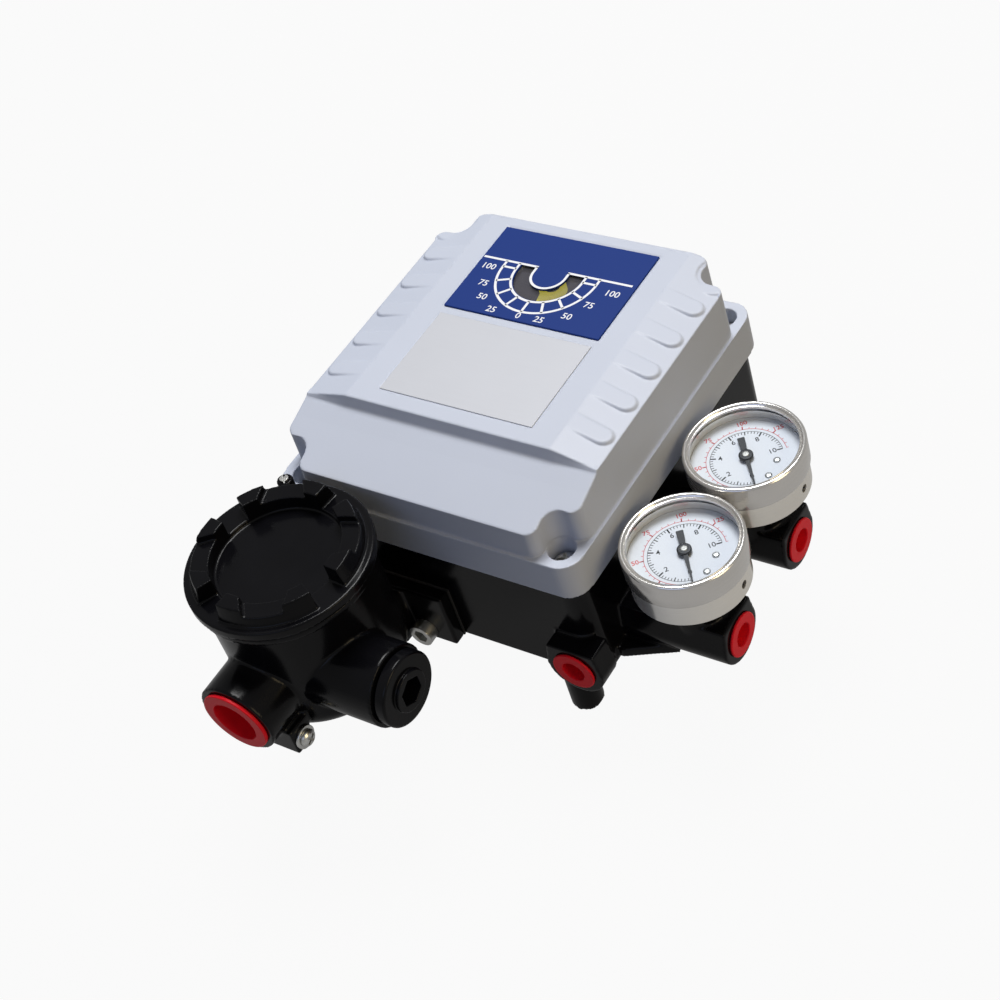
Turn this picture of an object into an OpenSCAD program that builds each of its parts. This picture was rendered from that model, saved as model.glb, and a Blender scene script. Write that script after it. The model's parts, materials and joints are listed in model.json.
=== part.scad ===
// Rotary electro-pneumatic valve positioner.
// Z = 0 is the plane of the four mounting posts' ends, +Z points out of the cover,
// +X points to the gauges and +Y to the dial end. The origin is the centre of the mounting holes.

/* [Base] */
// Width of the base casting along X
base_w = 119; // [112:1:143]
// Length of the base casting along Y
base_l = 126; // [120:1:151]
// Height of the base casting above its posts
base_h = 43.2; // [41:0.1:52]
// Height of the mounting posts
post_h = 26; // [22:0.5:32]
// Diameter of the mounting posts
post_d = 12; // [10:0.5:15]
// Hole spacing of the mounting posts along X
mount_x = 84; // [70:1:96]
// Hole spacing of the mounting posts along Y
mount_y = 113; // [95:1:118]
// Tapping diameter of the mounting holes
mount_hole_d = 6.8; // [5:0.1:8.2]
// Depth of the mounting holes
mount_hole_depth = 18; // [12:1:22]
// Wall thickness of the base casting
wall = 5; // [4.2:0.1:6]
// Floor thickness of the base casting
floor_t = 6; // [5:0.5:7.5]

/* [Cover] */
// Height of the cover above its gasket
cover_h = 37; // [34:0.5:44.5]
// Height of the cover's skirt below its ledge
skirt_h = 14.8; // [12.5:0.1:17.8]
// Overhang of the skirt past the base wall
skirt_over = 2.5; // [2:0.1:3]
// Width of the ledge around the cover's upper body
ledge = 2.3; // [2:0.1:2.8]
// Wall thickness of the cover
cover_wall = 3; // [2.5:0.1:3.6]
// Number of finger ribs on each side
rib_count = 5; // [4:1:6]
// Distance between finger ribs
rib_pitch = 15.83; // [13.2:0.01:15.9]
// Width of a finger rib
rib_w = 9.5; // [8:0.5:11]

/* [Shaft and cam] */
// Diameter of the main shaft in its bush
shaft_d = 12; // [10:0.5:14]
// Distance from the shaft to the lever pin
lever_len = 30; // [25:1:36]
// Diameter of the lever pin
lever_pin_d = 5; // [4.2:0.1:6]
// Length of the follower arm
follower_len = 28; // [26:0.5:30]
// Radius of the follower roller
roller_r = 4; // [3.4:0.1:4.8]
// Follower turn for each degree of shaft turn
cam_ratio = 0.18; // [0.15:0.01:0.21]

/* [Gauges] */
// Radius of the gauge bezel
bezel_r = 21; // [18:0.5:21.5]
// Height of a gauge from its back to the top of its bezel
gauge_h = 19; // [17:0.5:22]
// Distance between the two gauges
gauge_pitch = 44.2; // [43.5:0.1:53]
// Distance from the side of the base to the gauges
gauge_reach = 26.5; // [25:0.5:40.5]

/* [Terminal box] */
// Radius of the terminal box body
box_r = 30; // [28:0.5:31]
// Radius of the cap's rim
cap_r = 33; // [32.5:0.1:33.4]
// Height of the cap's rim above the mounting plane
cap_z = 94; // [90:0.5:100]
// Height of the cable entries above the mounting plane
entry_z = 61.7; // [59:0.1:66]
// Radius of the cable entry bosses
entry_r = 14.5; // [13.5:0.1:16]

/* [Hidden] */
$fn = 64;

// Clearances: running fit of a turning pin, slip fit of a fixed piece, gap beside a moving face
run_fit = 0.05;
slip_fit = 0.1;
side_gap = 0.3;
// A cut reaches this far past the face that it opens, and a joined piece this far into its neighbour
past = 1;
bite = 1;

// Colours as painted or moulded
black_paint = "#16171a";
grey_paint = "#c3cadb";
steel = "#c9c9c6";
brass = "#c8a24a";
red_plastic = "#c81e2a";
label_blue = "#1b3f92";
white_card = "#f2f2f0";
dark_rubber = "#26262a";

// Levels of the housing
base_top = post_h + base_h;
gasket_t = 0.8;
cover_z = base_top + gasket_t;
ledge_z = cover_z + skirt_h;
cover_top = cover_z + cover_h;
floor_z = post_h + floor_t;
corner_r = 7;
inside_r = corner_r - 3;
skirt_r = 8;

// Cover's outline: skirt and upper body
skirt_w = base_w + 2 * skirt_over;
skirt_l = base_l + 2 * skirt_over;
body_w = skirt_w - 2 * ledge;
body_l = skirt_l - 2 * ledge;
draft = 1.2;
apron_drop = 11.7;
step_drop = 4.4;
step_y = -36.3;
step_run = 1.5;
side_drop = 1.7;
side_run = 14;
rib_start = -27.2;
rib_tip_in = 1.8;
rib_tip_r = 3.5;
rib_len = 9;
rib_slant = 8;
rib_tilt = atan(side_drop / rib_w);
rib_rise = 0.15;

// Cover screws stand in round notches at the corners
screw_x = base_w / 2 - 6;
screw_y = base_l / 2 - 6;
notch_r = 6.7;
notch_wall = 2.5;
column_d = 14;
cover_screw_d = 5;
cover_head_d = 8.4;
cover_head_h = 3;
counterbore_d = cover_head_d + 1.2;
head_sink = 4.8;
cover_screw_len = 22;

// Labels on the plateau
dial_x = -2;
dial_y = 38;
dial_plate_w = 64.5;
dial_plate_y0 = 13.8;
dial_plate_l = 44;
dial_plate_t = 1;
label_sink = 0.4;
name_plate_w = 63;
name_plate_y0 = -29.7;
name_plate_l = 40;
name_plate_t = 0.7;
window_r = 13.2;
tongue_r = 7.2;
window_rise = 3;
lens_r = 17;
lens_t = 1.4;
opening_r = 15;

// Main shaft, its bush and what it carries
shaft_r = shaft_d / 2;
bush_wall = 3;
bush_r = shaft_r + bush_wall;
bush_flange_t = 2;
bush_flange_r = bush_r + 2.5;
boss_h = 8;
boss_wall = 4;
bush_top = floor_z + boss_h + bush_flange_t;
end_play = 0.2;
collar_t = 3;
collar_r = shaft_r + 2.5;
circlip_t = 1.2;
circlip_r = shaft_r + 3;
groove_depth = 0.8;
circlip_z = post_h - end_play - circlip_t;
tenon = 8;
lever_t = 5;
lever_w = 14;
lever_z = 13;
stud_r = 3;
lever_nut_af = 10;
lever_nut_h = 5;
pin_end_z = 2;
pin_tenon_d = lever_pin_d - 1;
pin_head_d = lever_pin_d + 3;
pin_head_t = 1.5;
cam_z = 58;
cam_t = 3;
cam_seat_r = 5;
cam_stud_r = 4;
cam_hub_r = 11;
cam_nut_h = 4;
cam_nut_af = 13;
stem_r = 3;
indicator_t = 2.5;
indicator_room = 1.5;
indicator_z = cover_top - cover_wall - indicator_room - indicator_t;
indicator_len = 12.5;

// Follower arm: pivot, rest angle and the cam's working range
follower_x = 30;
follower_y = 6;
follower_a = 172;
cam_from = -14;
cam_to = 104;
cam_step = 4;
cam_gap = 0.15;
arm_z = cam_z + cam_t + 1;
arm_t = 3;
arm_eye_r = 6;
arm_bar_w = 5;
pivot_r = 2.5;
pivot_post_r = 5;
pivot_head_r = 4.2;
pivot_head_t = 1.2;
roller_pin_r = 1.5;
roller_h = 4.4;
roller_z = cam_z + cam_t / 2 - roller_h / 2;
roller_head_r = 2.6;
roller_head_t = 0.9;
peg_r = 1;
peg_h = 5;
spring_along = 16;

// Balance beam with its pivot and the torque motor
beam_y = -14;
beam_pivot_x = -8;
beam_x0 = -46;
beam_x1 = 28;
beam_t = 4;
beam_z = 58;
beam_h = 8;
beam_boss_r = 5;
beam_pin_r = 2;
yoke_x0 = -52;
yoke_x1 = -26;
yoke_z = 50;
yoke_t = 4;
yoke_foot_in = 4;
pole_gap = 2;
magnet_t = 6;
magnet_h = 14;
magnet_len = 12;
magnet_in = 1;
coil_len = 8;
coil_x0 = -37;
coil_t = 4;
coil_room_y = 4.5;
coil_room_z = 2;

// Pilot valve, nozzle and adjusters
pilot_x0 = 8;
pilot_y0 = -50;
pilot_w = 42;
pilot_l = 28;
pilot_h = 22;
spool_r = 4;
spool_waist_r = 2.6;
spool_land = 5;
spool_land_count = 3;
spool_len = 32;
spool_y = -38;
spool_z = floor_z + 11;
bore_end = 4;
pilot_cap_t = 3;
pilot_cap_r = spool_r + 3;
nozzle_x = 20;
nozzle_size = 12;
nozzle_r = 2.5;
nozzle_bore_r = 0.6;
nozzle_gap = 0.4;
manual_x = 42;
manual_y = -29;
manual_r = 2.5;
manual_head_r = 4;
manual_head_t = 2.6;
manual_depth = 10;
zero_x = -30;
zero_y = 18;
span_x = 42;
span_y = 34;
knob_r = 9;
span_knob_r = knob_r - 2;
knob_t = 5.5;
knob_notches = 18;
knob_post_r = 5;
knob_post_h = 14;
knob_stem_r = 2.5;
knob_stem_len = 10;

// Air ports: bosses with a flat top and a round underside, with shipping plugs
gauge_x = base_w / 2 + gauge_reach;
port_boss_r = 10.9;
port_rise = 11.5;
port_boss_top = 9.4;
port_top_w = 18.4;
port_z = post_h + port_rise;
port_r = 6.6;
port_depth = 12;
plug_flange_r = 7.95;
plug_flange_t = 1;
plug_hole_r = 4.2;
plug_len = 9;
supply_x = 54;
supply_reach = 7.3;
supply_face = base_l / 2 + supply_reach;
output_reach = 14;
output_face = gauge_x + output_reach;
web_t = 6;
web_reach = 18;
gusset_z = post_h + 2;
gusset_t = 4;
gusset_side = 16.6;
gusset_back = 8;
gusset_nose = 2.5;
gusset_reach = 20;

// Gauges
gauge_mid_y = -14.8;
front_y = gauge_mid_y - gauge_pitch / 2;
rear_y = gauge_mid_y + gauge_pitch / 2;
gauge_z = post_h + 35;
case_wall = 1;
bezel_t = 0.8;
bezel_rise = 3.5;
case_r = bezel_r - bezel_t;
case_h = gauge_h - bezel_rise;
lens_thick = 1.8;
bezel_skirt = 8;
bezel_lip = 2.6;
dial_drop = 3;
dial_thick = 0.6;
arbor_r = 0.8;
arbor_foot = 2;
blade_rise = 1;
hub_rise = 0.4;
pointer_t = 0.6;
pointer_a = -51;
pointer_len = 14;
pointer_tail = 8.5;
hub_r = 2.6;
socket_af = 14;
socket_neck = 7;
socket_r = 5;
thread_r = 4.8;
thread_len = 10;
gauge_boss_r = 10;
socket_block_h = 4;
movement_w = 12;
movement_l = 9;
tube_wire_r = 1.6;
tube_room = 3.1;
tube_r = case_r - case_wall - tube_wire_r - tube_room;
tube_sweep = 250;
vent_r = 1.5;
vent_z = 4.5;

// Terminal box: axis, entries and the plate that carries it
box_x = -28.1;
box_reach = 37.7;
box_y = -base_l / 2 - box_reach;
box_bottom = 40;
box_round = 10;
box_floor = 4;
box_wall = 5;
box_bore_r = box_r - box_wall;
cap_thread_wall = 3;
cap_thread_r = box_r - cap_thread_wall;
thread_depth = 12;
box_flange_r = box_r + 2;
box_flange_h = 3;
seal_t = 0.6;
seal_r0 = box_r - 1;
seal_r1 = box_r + 1;
box_top = cap_z - seal_t;
conduit_x = box_x - 1;
conduit_face = box_y - 42.8;
conduit_bore_r = 9.6;
conduit_flange_r = 12.5;
conduit_flange_t = 1.5;
conduit_hole_r = 8.4;
conduit_plug_len = 12;
blank_y = box_y - 11;
blank_face = box_x + 43.8;
blank_neck_r = 11;
blank_neck_t = 0.8;
blank_flange_r = 13.2;
blank_flange_t = 4;
blank_edge = 0.6;
blank_collar_r = 7.5;
blank_collar_t = 1.4;
blank_hex_af = 9;
blank_hex_depth = 8;
plate_x = -26;
plate_w = 54;
plate_h = 24;
plate_t = 5;
plate_gasket_t = 0.8;
plate_y = -base_l / 2 - plate_gasket_t;
box_screw_dx = 15.4;
box_screw_z = post_h + 5;
box_screw_r = 2.5;
box_head_r = 4.6;
box_head_h = 4.5;
box_key_af = 5;
box_key_depth = 3;
neck_w = 20;
neck_top_run = 6;
neck_top_in = 13;
neck_foot_rise = 5;
neck_foot_in = 17;
wire_r = 4;
wire_z = 45;
cap_rim_h = 3.5;
cap_dish = 1.5;
cap_skirt_h = 10;
cap_skirt_wall = 4;
crown_h = 6.5;
crown_r0 = cap_r - 10.2;
crown_r1 = cap_r - 2.8;
crown_lean = 1.6;
crown_count = 4;
crown_sweep = 68;
crown_from = 29;
saddle_drop = 2.8;
saddle_in = 8;
saddle_out = 6.2;
lock_a = 123.5;
lock_lug_r = 2.9;
lock_gap = 0.6;
lock_r = cap_r + lock_gap + lock_lug_r;
lock_web_w = 5.4;
lock_web_in = 2;
lock_z = cap_z - 10;
lock_top = cap_z + 3;
lock_screw_r = 1.6;
lock_screw_len = 8;
lock_screw_rise = 0.6;
earth_y = box_y - 32.3;
earth_z = box_bottom + 6;
earth_x = box_x + 13.6;
earth_lug_w = 9;
earth_lug_t = 20;
earth_lug_h = 11;
earth_hole = 9;
earth_head_r = 3.2;
earth_head_t = 2.2;
earth_washer_r = 4.3;
earth_washer_t = 1;
earth_shank_r = 2;
block_size = [34, 14, 12];
terminal_count = 4;
terminal_pitch = 8;
terminal_r = 2;
terminal_t = 1.5;

// Points of the plan: the follower's pivot and roller, and the shaft
shaft_at = [dial_x, dial_y];
pivot_at = [follower_x, follower_y];
function along(a) = [cos(a), sin(a)];
function turned(p, a) = [p[0] * cos(a) - p[1] * sin(a), p[0] * sin(a) + p[1] * cos(a)];
function spring_peg() = pivot_at + spring_along * along(follower_a);
function roller_at(t) = pivot_at + follower_len * along(follower_a + cam_ratio * t);
// Path of the roller's centre seen from the cam, and the cam's edge inside it
function roller_path(t) = turned(roller_at(t) - shaft_at, -t);
function inward(t) = let (d = roller_path(t + 1) - roller_path(t - 1)) [-d[1], d[0]] / norm(d);
function cam_edge(t) =
  let (n = inward(t), p = roller_path(t), s = n * p > 0 ? -1 : 1) p + s * n * (roller_r + cam_gap);

// A block with round vertical edges, centred in plan
module rounded_block(w, l, h, r) {
  translate([-w / 2 + r, -l / 2, 0]) cube([w - 2 * r, l, h]);
  translate([-w / 2, -l / 2 + r, 0]) cube([w, l - 2 * r, h]);
  at_corners(w - 2 * r, l - 2 * r) cylinder(r = r, h = h);
}

// Copies at the four corners of a rectangle
module at_corners(dx, dy) {
  for (sx = [-1, 1], sy = [-1, 1]) translate([sx * dx / 2, sy * dy / 2, 0]) children();
}

// A prism with six flats, measured across them
module hexagon(af, h) {
  cylinder(r = af / sqrt(3), h = h, $fn = 6);
}

// A profile in Y and Z drawn along X, and one in X and Z drawn along Y
module along_x(w) {
  rotate([90, 0, 90]) linear_extrude(w, center = true) children();
}
module along_y(l) {
  rotate([90, 0, 0]) linear_extrude(l, center = true) children();
}

// What is drawn along +Z turned to point along -Y or +X
module toward_front() {
  rotate([90, 0, 0]) children();
}
module toward_right() {
  rotate([0, 90, 0]) children();
}

// A ring between two radii
module ring(r1, r0, h) {
  difference() {
    cylinder(r = r1, h = h);
    translate([0, 0, -past]) cylinder(r = r0, h = h + 2 * past);
  }
}

// A flat bar between two points of the plan, a little narrower than its round ends
module bar(p, q, w, h) {
  d = q - p;
  narrowing = 0.96;
  waist = narrowing * w;
  translate([p[0], p[1], 0]) {
    cylinder(d = w, h = h);
    rotate([0, 0, atan2(d[1], d[0])]) translate([0, -waist / 2, 0]) cube([norm(d), waist, h]);
  }
  translate([q[0], q[1], 0]) cylinder(d = w, h = h);
}

// The crossed slots of a screw's drive
module cross_slots(size, w, depth) {
  for (a = [0, 90]) rotate([0, 0, a]) translate([-size / 2, -w / 2, 0]) cube([size, w, depth + past]);
}

// Upper body of the cover, drawn in by an inset for its inside
module cover_body(inset) {
  w = body_w / 2 - inset;
  l = body_l / 2 - inset;
  top = cover_top - inset;
  intersection() {
    translate([0, 0, cover_z]) rounded_block(2 * w, 2 * l, cover_h, skirt_r - ledge);
    along_x(skirt_w) polygon([[-l, cover_z], [-l + draft, top - apron_drop],
      [step_y - step_run, top - step_drop], [step_y, top], [l - draft, top], [l, cover_z]]);
    along_y(skirt_l) polygon([[-w, cover_z], [-w + draft, top - side_drop], [-w + side_run, top],
      [w - side_run, top], [w - draft, top - side_drop], [w, cover_z]]);
  }
}

// One finger rib at the right-hand edge of the cover: its crest is at the front, its back runs out
module finger_rib() {
  tip = body_w / 2 - draft - rib_tip_in;
  deep = 2 * side_drop;
  translate([tip - rib_tip_r, 0, cover_top + rib_rise]) rotate([0, 0, -rib_slant]) rotate([-rib_tilt, 0, 0])
    translate([0, 0, -deep]) linear_extrude(deep) {
      translate([0, rib_tip_r]) circle(r = rib_tip_r);
      translate([-rib_len, 0]) square([rib_len, rib_w]);
      translate([-rib_len, rib_tip_r]) square([rib_len + rib_tip_r, rib_w - rib_tip_r]);
    }
}

module main_cover() {
  inner_w = body_w - 2 * cover_wall;
  inner_l = body_l - 2 * cover_wall;
  color(grey_paint) difference() {
    union() {
      translate([0, 0, cover_z]) rounded_block(skirt_w, skirt_l, skirt_h, skirt_r);
      cover_body(0);
      for (i = [0 : rib_count - 1], s = [0, 1])
        mirror([s, 0, 0]) translate([0, rib_start + i * rib_pitch, 0]) finger_rib();
    }
    difference() {
      union() {
        translate([0, 0, cover_z - past])
          rounded_block(inner_w, inner_l, past + skirt_h / 2, skirt_r - ledge);
        cover_body(cover_wall);
      }
      at_corners(2 * screw_x, 2 * screw_y)
        translate([0, 0, cover_z - past]) cylinder(r = notch_r + notch_wall, h = cover_h);
    }
    at_corners(2 * screw_x, 2 * screw_y) {
      translate([0, 0, ledge_z]) cylinder(r = notch_r, h = cover_h);
      translate([0, 0, ledge_z - head_sink - cover_head_h]) cylinder(d = counterbore_d, h = skirt_h);
      translate([0, 0, cover_z - past]) cylinder(d = cover_screw_d + 2 * side_gap, h = skirt_h);
    }
    translate([-dial_plate_w / 2 - slip_fit, dial_plate_y0 - slip_fit, cover_top - label_sink])
      cube([dial_plate_w + 2 * slip_fit, dial_plate_l + 2 * slip_fit, past + dial_plate_t]);
    translate([-name_plate_w / 2 - slip_fit, name_plate_y0 - slip_fit, cover_top - label_sink])
      cube([name_plate_w + 2 * slip_fit, name_plate_l + 2 * slip_fit, past + name_plate_t]);
    translate([dial_x, dial_y, cover_top - label_sink - lens_t]) {
      cylinder(r = lens_r + slip_fit, h = lens_t + past);
      translate([0, 0, -cover_wall]) cylinder(r = opening_r, h = cover_wall + past);
    }
  }
}

module cover_gasket() {
  inset = 0.4;
  color(dark_rubber) translate([0, 0, base_top]) difference() {
    rounded_block(base_w - 2 * inset, base_l - 2 * inset, gasket_t, corner_r);
    translate([0, 0, -past]) difference() {
      rounded_block(base_w - 2 * wall, base_l - 2 * wall, gasket_t + 2 * past, inside_r);
      at_corners(2 * screw_x, 2 * screw_y) cylinder(d = column_d, h = gasket_t + 2 * past);
    }
    at_corners(2 * screw_x, 2 * screw_y)
      translate([0, 0, -past]) cylinder(d = cover_screw_d + 2 * side_gap, h = gasket_t + 2 * past);
  }
}

module cover_screws() {
  seat = ledge_z - head_sink - cover_head_h;
  slot = [5, 1.2, 1.6];
  color(steel) at_corners(2 * screw_x, 2 * screw_y) translate([0, 0, seat]) difference() {
    union() {
      cylinder(d = cover_head_d, h = cover_head_h);
      translate([0, 0, -cover_screw_len]) cylinder(d = cover_screw_d, h = cover_screw_len);
    }
    translate([0, 0, cover_head_h - slot[2]]) cross_slots(slot[0], slot[1], slot[2]);
  }
}

// Outline of the dial's window: a half circle with a short straight rise
module half_window(r) {
  difference() {
    union() {
      circle(r = r);
      translate([-r, 0]) square([2 * r, window_rise]);
    }
    translate([-r - past, window_rise]) square([2 * (r + past), r]);
  }
}

module dial_plate() {
  color(label_blue) translate([0, 0, cover_top - label_sink]) difference() {
    translate([-dial_plate_w / 2, dial_plate_y0, 0]) cube([dial_plate_w, dial_plate_l, dial_plate_t]);
    translate([dial_x, dial_y, -past]) linear_extrude(dial_plate_t + 2 * past) difference() {
      half_window(window_r);
      circle(r = tongue_r);
      translate([-tongue_r, 0]) square([2 * tongue_r, 2 * window_rise]);
    }
  }
}

module name_plate() {
  color(steel) translate([-name_plate_w / 2, name_plate_y0, cover_top - label_sink])
    cube([name_plate_w, name_plate_l, name_plate_t]);
}

module window_lens() {
  color("#dfe8ee", 0.4) translate([dial_x, dial_y, cover_top - label_sink - lens_t])
    cylinder(r = lens_r, h = lens_t);
}

// Section of an air port's boss around the port: flat on top and round below
module port_section() {
  difference() {
    circle(r = port_boss_r);
    translate([-port_boss_r - past, 0]) square([2 * (port_boss_r + past), port_boss_r + past]);
  }
  polygon([[-port_boss_r, 0], [port_boss_r, 0], [port_top_w / 2, port_boss_top],
    [-port_top_w / 2, port_boss_top]]);
}

// One output port's boss with the stub that a gauge screws into
module output_block() {
  start = base_w / 2 - bite;
  translate([start, 0, port_z]) rotate([90, 0, 90]) linear_extrude(output_face - start) port_section();
  translate([gauge_x, 0, port_z]) cylinder(r = gauge_boss_r, h = gauge_z - socket_neck - port_z);
}

// The flat gusset between the base's side and the front port's boss
module gusset() {
  side = base_w / 2;
  translate([0, front_y, gusset_z]) linear_extrude(gusset_t) polygon([[side - bite, -gusset_side],
    [side + gusset_nose, -gusset_side], [side + gusset_reach, -gusset_back], [side - bite, -gusset_back]]);
}

// Round posts on the floor of the base that carry the adjusters
module knob_post(x, y) {
  translate([x, y, 0]) cylinder(r = knob_post_r, h = floor_t + knob_post_h);
}

// Copies at the terminal box's two screws, pointing into the base from a plane
module at_box_screws(y) {
  for (s = [-1, 1]) translate([plate_x + s * box_screw_dx, y, box_screw_z]) rotate([-90, 0, 0]) children();
}

module base_casting() {
  color(black_paint) difference() {
    union() {
      translate([0, 0, post_h]) difference() {
        rounded_block(base_w, base_l, base_h, corner_r);
        translate([0, 0, floor_t]) difference() {
          rounded_block(base_w - 2 * wall, base_l - 2 * wall, base_h, inside_r);
          translate([0, 0, -floor_t]) {
            at_corners(2 * screw_x, 2 * screw_y) cylinder(d = column_d, h = 2 * base_h);
            translate([dial_x, dial_y, 0]) cylinder(r = bush_r + boss_wall, h = floor_t + boss_h);
            knob_post(zero_x, zero_y);
            knob_post(span_x, span_y);
          }
        }
      }
      at_corners(mount_x, mount_y) cylinder(d = post_d, h = post_h);
      translate([supply_x, -base_l / 2 + wall / 2, port_z]) toward_front()
        linear_extrude(supply_face - base_l / 2 + wall / 2) port_section();
      for (y = [front_y, rear_y]) translate([0, y, 0]) output_block();
      translate([base_w / 2 - bite, front_y, gusset_z]) cube([web_reach, gauge_pitch, web_t]);
      gusset();
    }
    at_corners(mount_x, mount_y)
      translate([0, 0, -past]) cylinder(d = mount_hole_d, h = mount_hole_depth + past);
    at_corners(2 * screw_x, 2 * screw_y)
      translate([0, 0, base_top - cover_screw_len]) cylinder(d = cover_screw_d + 2 * slip_fit, h = base_h);
    translate([dial_x, dial_y, post_h - past]) cylinder(r = bush_r + slip_fit, h = base_h);
    for (p = [[zero_x, zero_y], [span_x, span_y]])
      translate([p[0], p[1], floor_z + knob_post_h - knob_stem_len - past])
        cylinder(r = knob_stem_r + run_fit, h = knob_stem_len + 2 * past);
    translate([supply_x, -supply_face - past, port_z]) rotate([-90, 0, 0])
      cylinder(r = port_r, h = port_depth + past);
    for (y = [front_y, rear_y]) {
      translate([output_face - port_depth, y, port_z]) toward_right()
        cylinder(r = port_r, h = port_depth + past);
      translate([gauge_x, y, gauge_z - socket_neck - thread_len - past])
        cylinder(r = thread_r + slip_fit, h = thread_len + 2 * past);
    }
    at_box_screws(-base_l / 2 - past) cylinder(r = box_screw_r + slip_fit, h = wall + 2 * past);
    translate([plate_x, -base_l / 2 - past, wire_z]) rotate([-90, 0, 0])
      cylinder(r = wire_r, h = wall + 2 * past);
  }
}

module shaft_bush() {
  color(brass) translate([dial_x, dial_y, 0]) difference() {
    union() {
      translate([0, 0, post_h]) cylinder(r = bush_r, h = floor_t + boss_h);
      translate([0, 0, floor_z + boss_h]) cylinder(r = bush_flange_r, h = bush_flange_t);
    }
    translate([0, 0, post_h - past]) cylinder(r = shaft_r + run_fit, h = base_h);
  }
}

// A hollow shipping plug: flange, body and a hole in its face, pointing along +Z
module hollow_plug(flange_r, flange_t, body_r, body_len, hole_r) {
  skin = 1.5;
  difference() {
    union() {
      cylinder(r = flange_r, h = flange_t);
      translate([0, 0, -body_len]) cylinder(r = body_r, h = body_len);
    }
    translate([0, 0, -body_len + skin]) cylinder(r = hole_r, h = body_len + flange_t);
  }
}

module supply_plug() {
  color(red_plastic) translate([supply_x, -supply_face, port_z]) toward_front()
    hollow_plug(plug_flange_r, plug_flange_t, port_r - slip_fit, plug_len, plug_hole_r);
}

module output_plugs() {
  color(red_plastic) for (y = [front_y, rear_y]) translate([output_face, y, port_z]) toward_right()
    hollow_plug(plug_flange_r, plug_flange_t, port_r - slip_fit, plug_len, plug_hole_r);
}

module conduit_plug() {
  color(red_plastic) translate([conduit_x, conduit_face, entry_z]) toward_front()
    hollow_plug(conduit_flange_r, conduit_flange_t, conduit_bore_r - slip_fit, conduit_plug_len,
      conduit_hole_r);
}

module blanking_plug() {
  flange_top = blank_neck_t + blank_flange_t;
  color(black_paint) translate([blank_face, blank_y, entry_z]) toward_right() difference() {
    union() {
      translate([0, 0, -conduit_plug_len]) cylinder(r = conduit_bore_r - slip_fit, h = conduit_plug_len);
      cylinder(r = blank_neck_r, h = blank_neck_t + bite);
      translate([0, 0, blank_neck_t]) cylinder(r = blank_flange_r, h = blank_flange_t - blank_edge);
      translate([0, 0, flange_top - blank_edge])
        cylinder(r1 = blank_flange_r, r2 = blank_flange_r - blank_edge, h = blank_edge);
      translate([0, 0, flange_top - bite]) cylinder(r = blank_collar_r, h = blank_collar_t + bite);
    }
    translate([0, 0, flange_top + blank_collar_t - blank_hex_depth])
      hexagon(blank_hex_af, blank_hex_depth + past);
  }
}

module terminal_box() {
  plate_front = plate_y - plate_t;
  color(black_paint) difference() {
    union() {
      translate([box_x, box_y, 0]) {
        translate([0, 0, box_bottom + box_round])
          cylinder(r = box_r, h = box_top - box_bottom - box_round);
        translate([0, 0, box_bottom]) cylinder(r = box_r - box_round, h = 2 * box_round);
        translate([0, 0, box_bottom + box_round])
          rotate_extrude() translate([box_r - box_round, 0]) circle(r = box_round);
        translate([0, 0, box_top - box_flange_h]) cylinder(r = box_flange_r, h = box_flange_h);
        rotate([0, 0, lock_a]) {
          translate([lock_r, 0, lock_z]) cylinder(r = lock_lug_r, h = lock_top - lock_z);
          translate([box_r - lock_web_in, -lock_web_w / 2, lock_z])
            cube([lock_r - box_r + lock_web_in, lock_web_w, box_top - lock_z]);
        }
      }
      translate([conduit_x, conduit_face, entry_z]) rotate([-90, 0, 0])
        cylinder(r = entry_r, h = box_y - conduit_face);
      translate([blank_face, blank_y, entry_z]) rotate([0, -90, 0])
        cylinder(r = entry_r, h = blank_face - box_x);
      translate([earth_x - earth_lug_t, earth_y - earth_lug_w / 2, earth_z - earth_lug_w / 2])
        cube([earth_lug_t, earth_lug_w, earth_lug_h]);
      translate([plate_x - plate_w / 2, plate_front, post_h]) cube([plate_w, plate_t, plate_h]);
      translate([plate_x, 0, 0]) along_x(neck_w) polygon([[plate_front + bite, post_h + bite],
        [plate_front + bite, post_h + plate_h - bite], [plate_front - neck_top_run, post_h + plate_h],
        [box_y + neck_top_in, entry_z], [box_y, entry_z], [box_y, box_bottom + bite],
        [box_y + neck_foot_in, post_h + neck_foot_rise]]);
    }
    translate([box_x, box_y, 0]) {
      translate([0, 0, box_bottom + box_floor]) cylinder(r = box_bore_r, h = box_top);
      translate([0, 0, box_top - thread_depth]) cylinder(r = cap_thread_r, h = box_top);
      rotate([0, 0, lock_a]) translate([lock_r, 0, lock_top - lock_screw_len])
        cylinder(r = lock_screw_r + slip_fit, h = lock_screw_len + past);
    }
    translate([conduit_x, conduit_face - past, entry_z]) rotate([-90, 0, 0])
      cylinder(r = conduit_bore_r, h = box_y - conduit_face);
    translate([blank_face + past, blank_y, entry_z]) rotate([0, -90, 0])
      cylinder(r = conduit_bore_r, h = blank_face - box_x);
    translate([plate_x, box_y, wire_z]) rotate([-90, 0, 0]) cylinder(r = wire_r, h = -box_y);
    at_box_screws(plate_front - past) cylinder(r = box_screw_r + slip_fit, h = plate_t + 2 * past);
    translate([earth_x - earth_hole, earth_y, earth_z]) toward_right()
      cylinder(r = earth_shank_r + slip_fit, h = earth_hole + past);
  }
}

module terminal_box_gasket() {
  color(dark_rubber) difference() {
    translate([plate_x - plate_w / 2, plate_y, post_h]) cube([plate_w, plate_gasket_t, plate_h]);
    at_box_screws(plate_y - past) cylinder(r = box_screw_r + slip_fit, h = plate_gasket_t + 2 * past);
    translate([plate_x, plate_y - past, wire_z]) rotate([-90, 0, 0])
      cylinder(r = wire_r, h = plate_gasket_t + 2 * past);
  }
}

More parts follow.
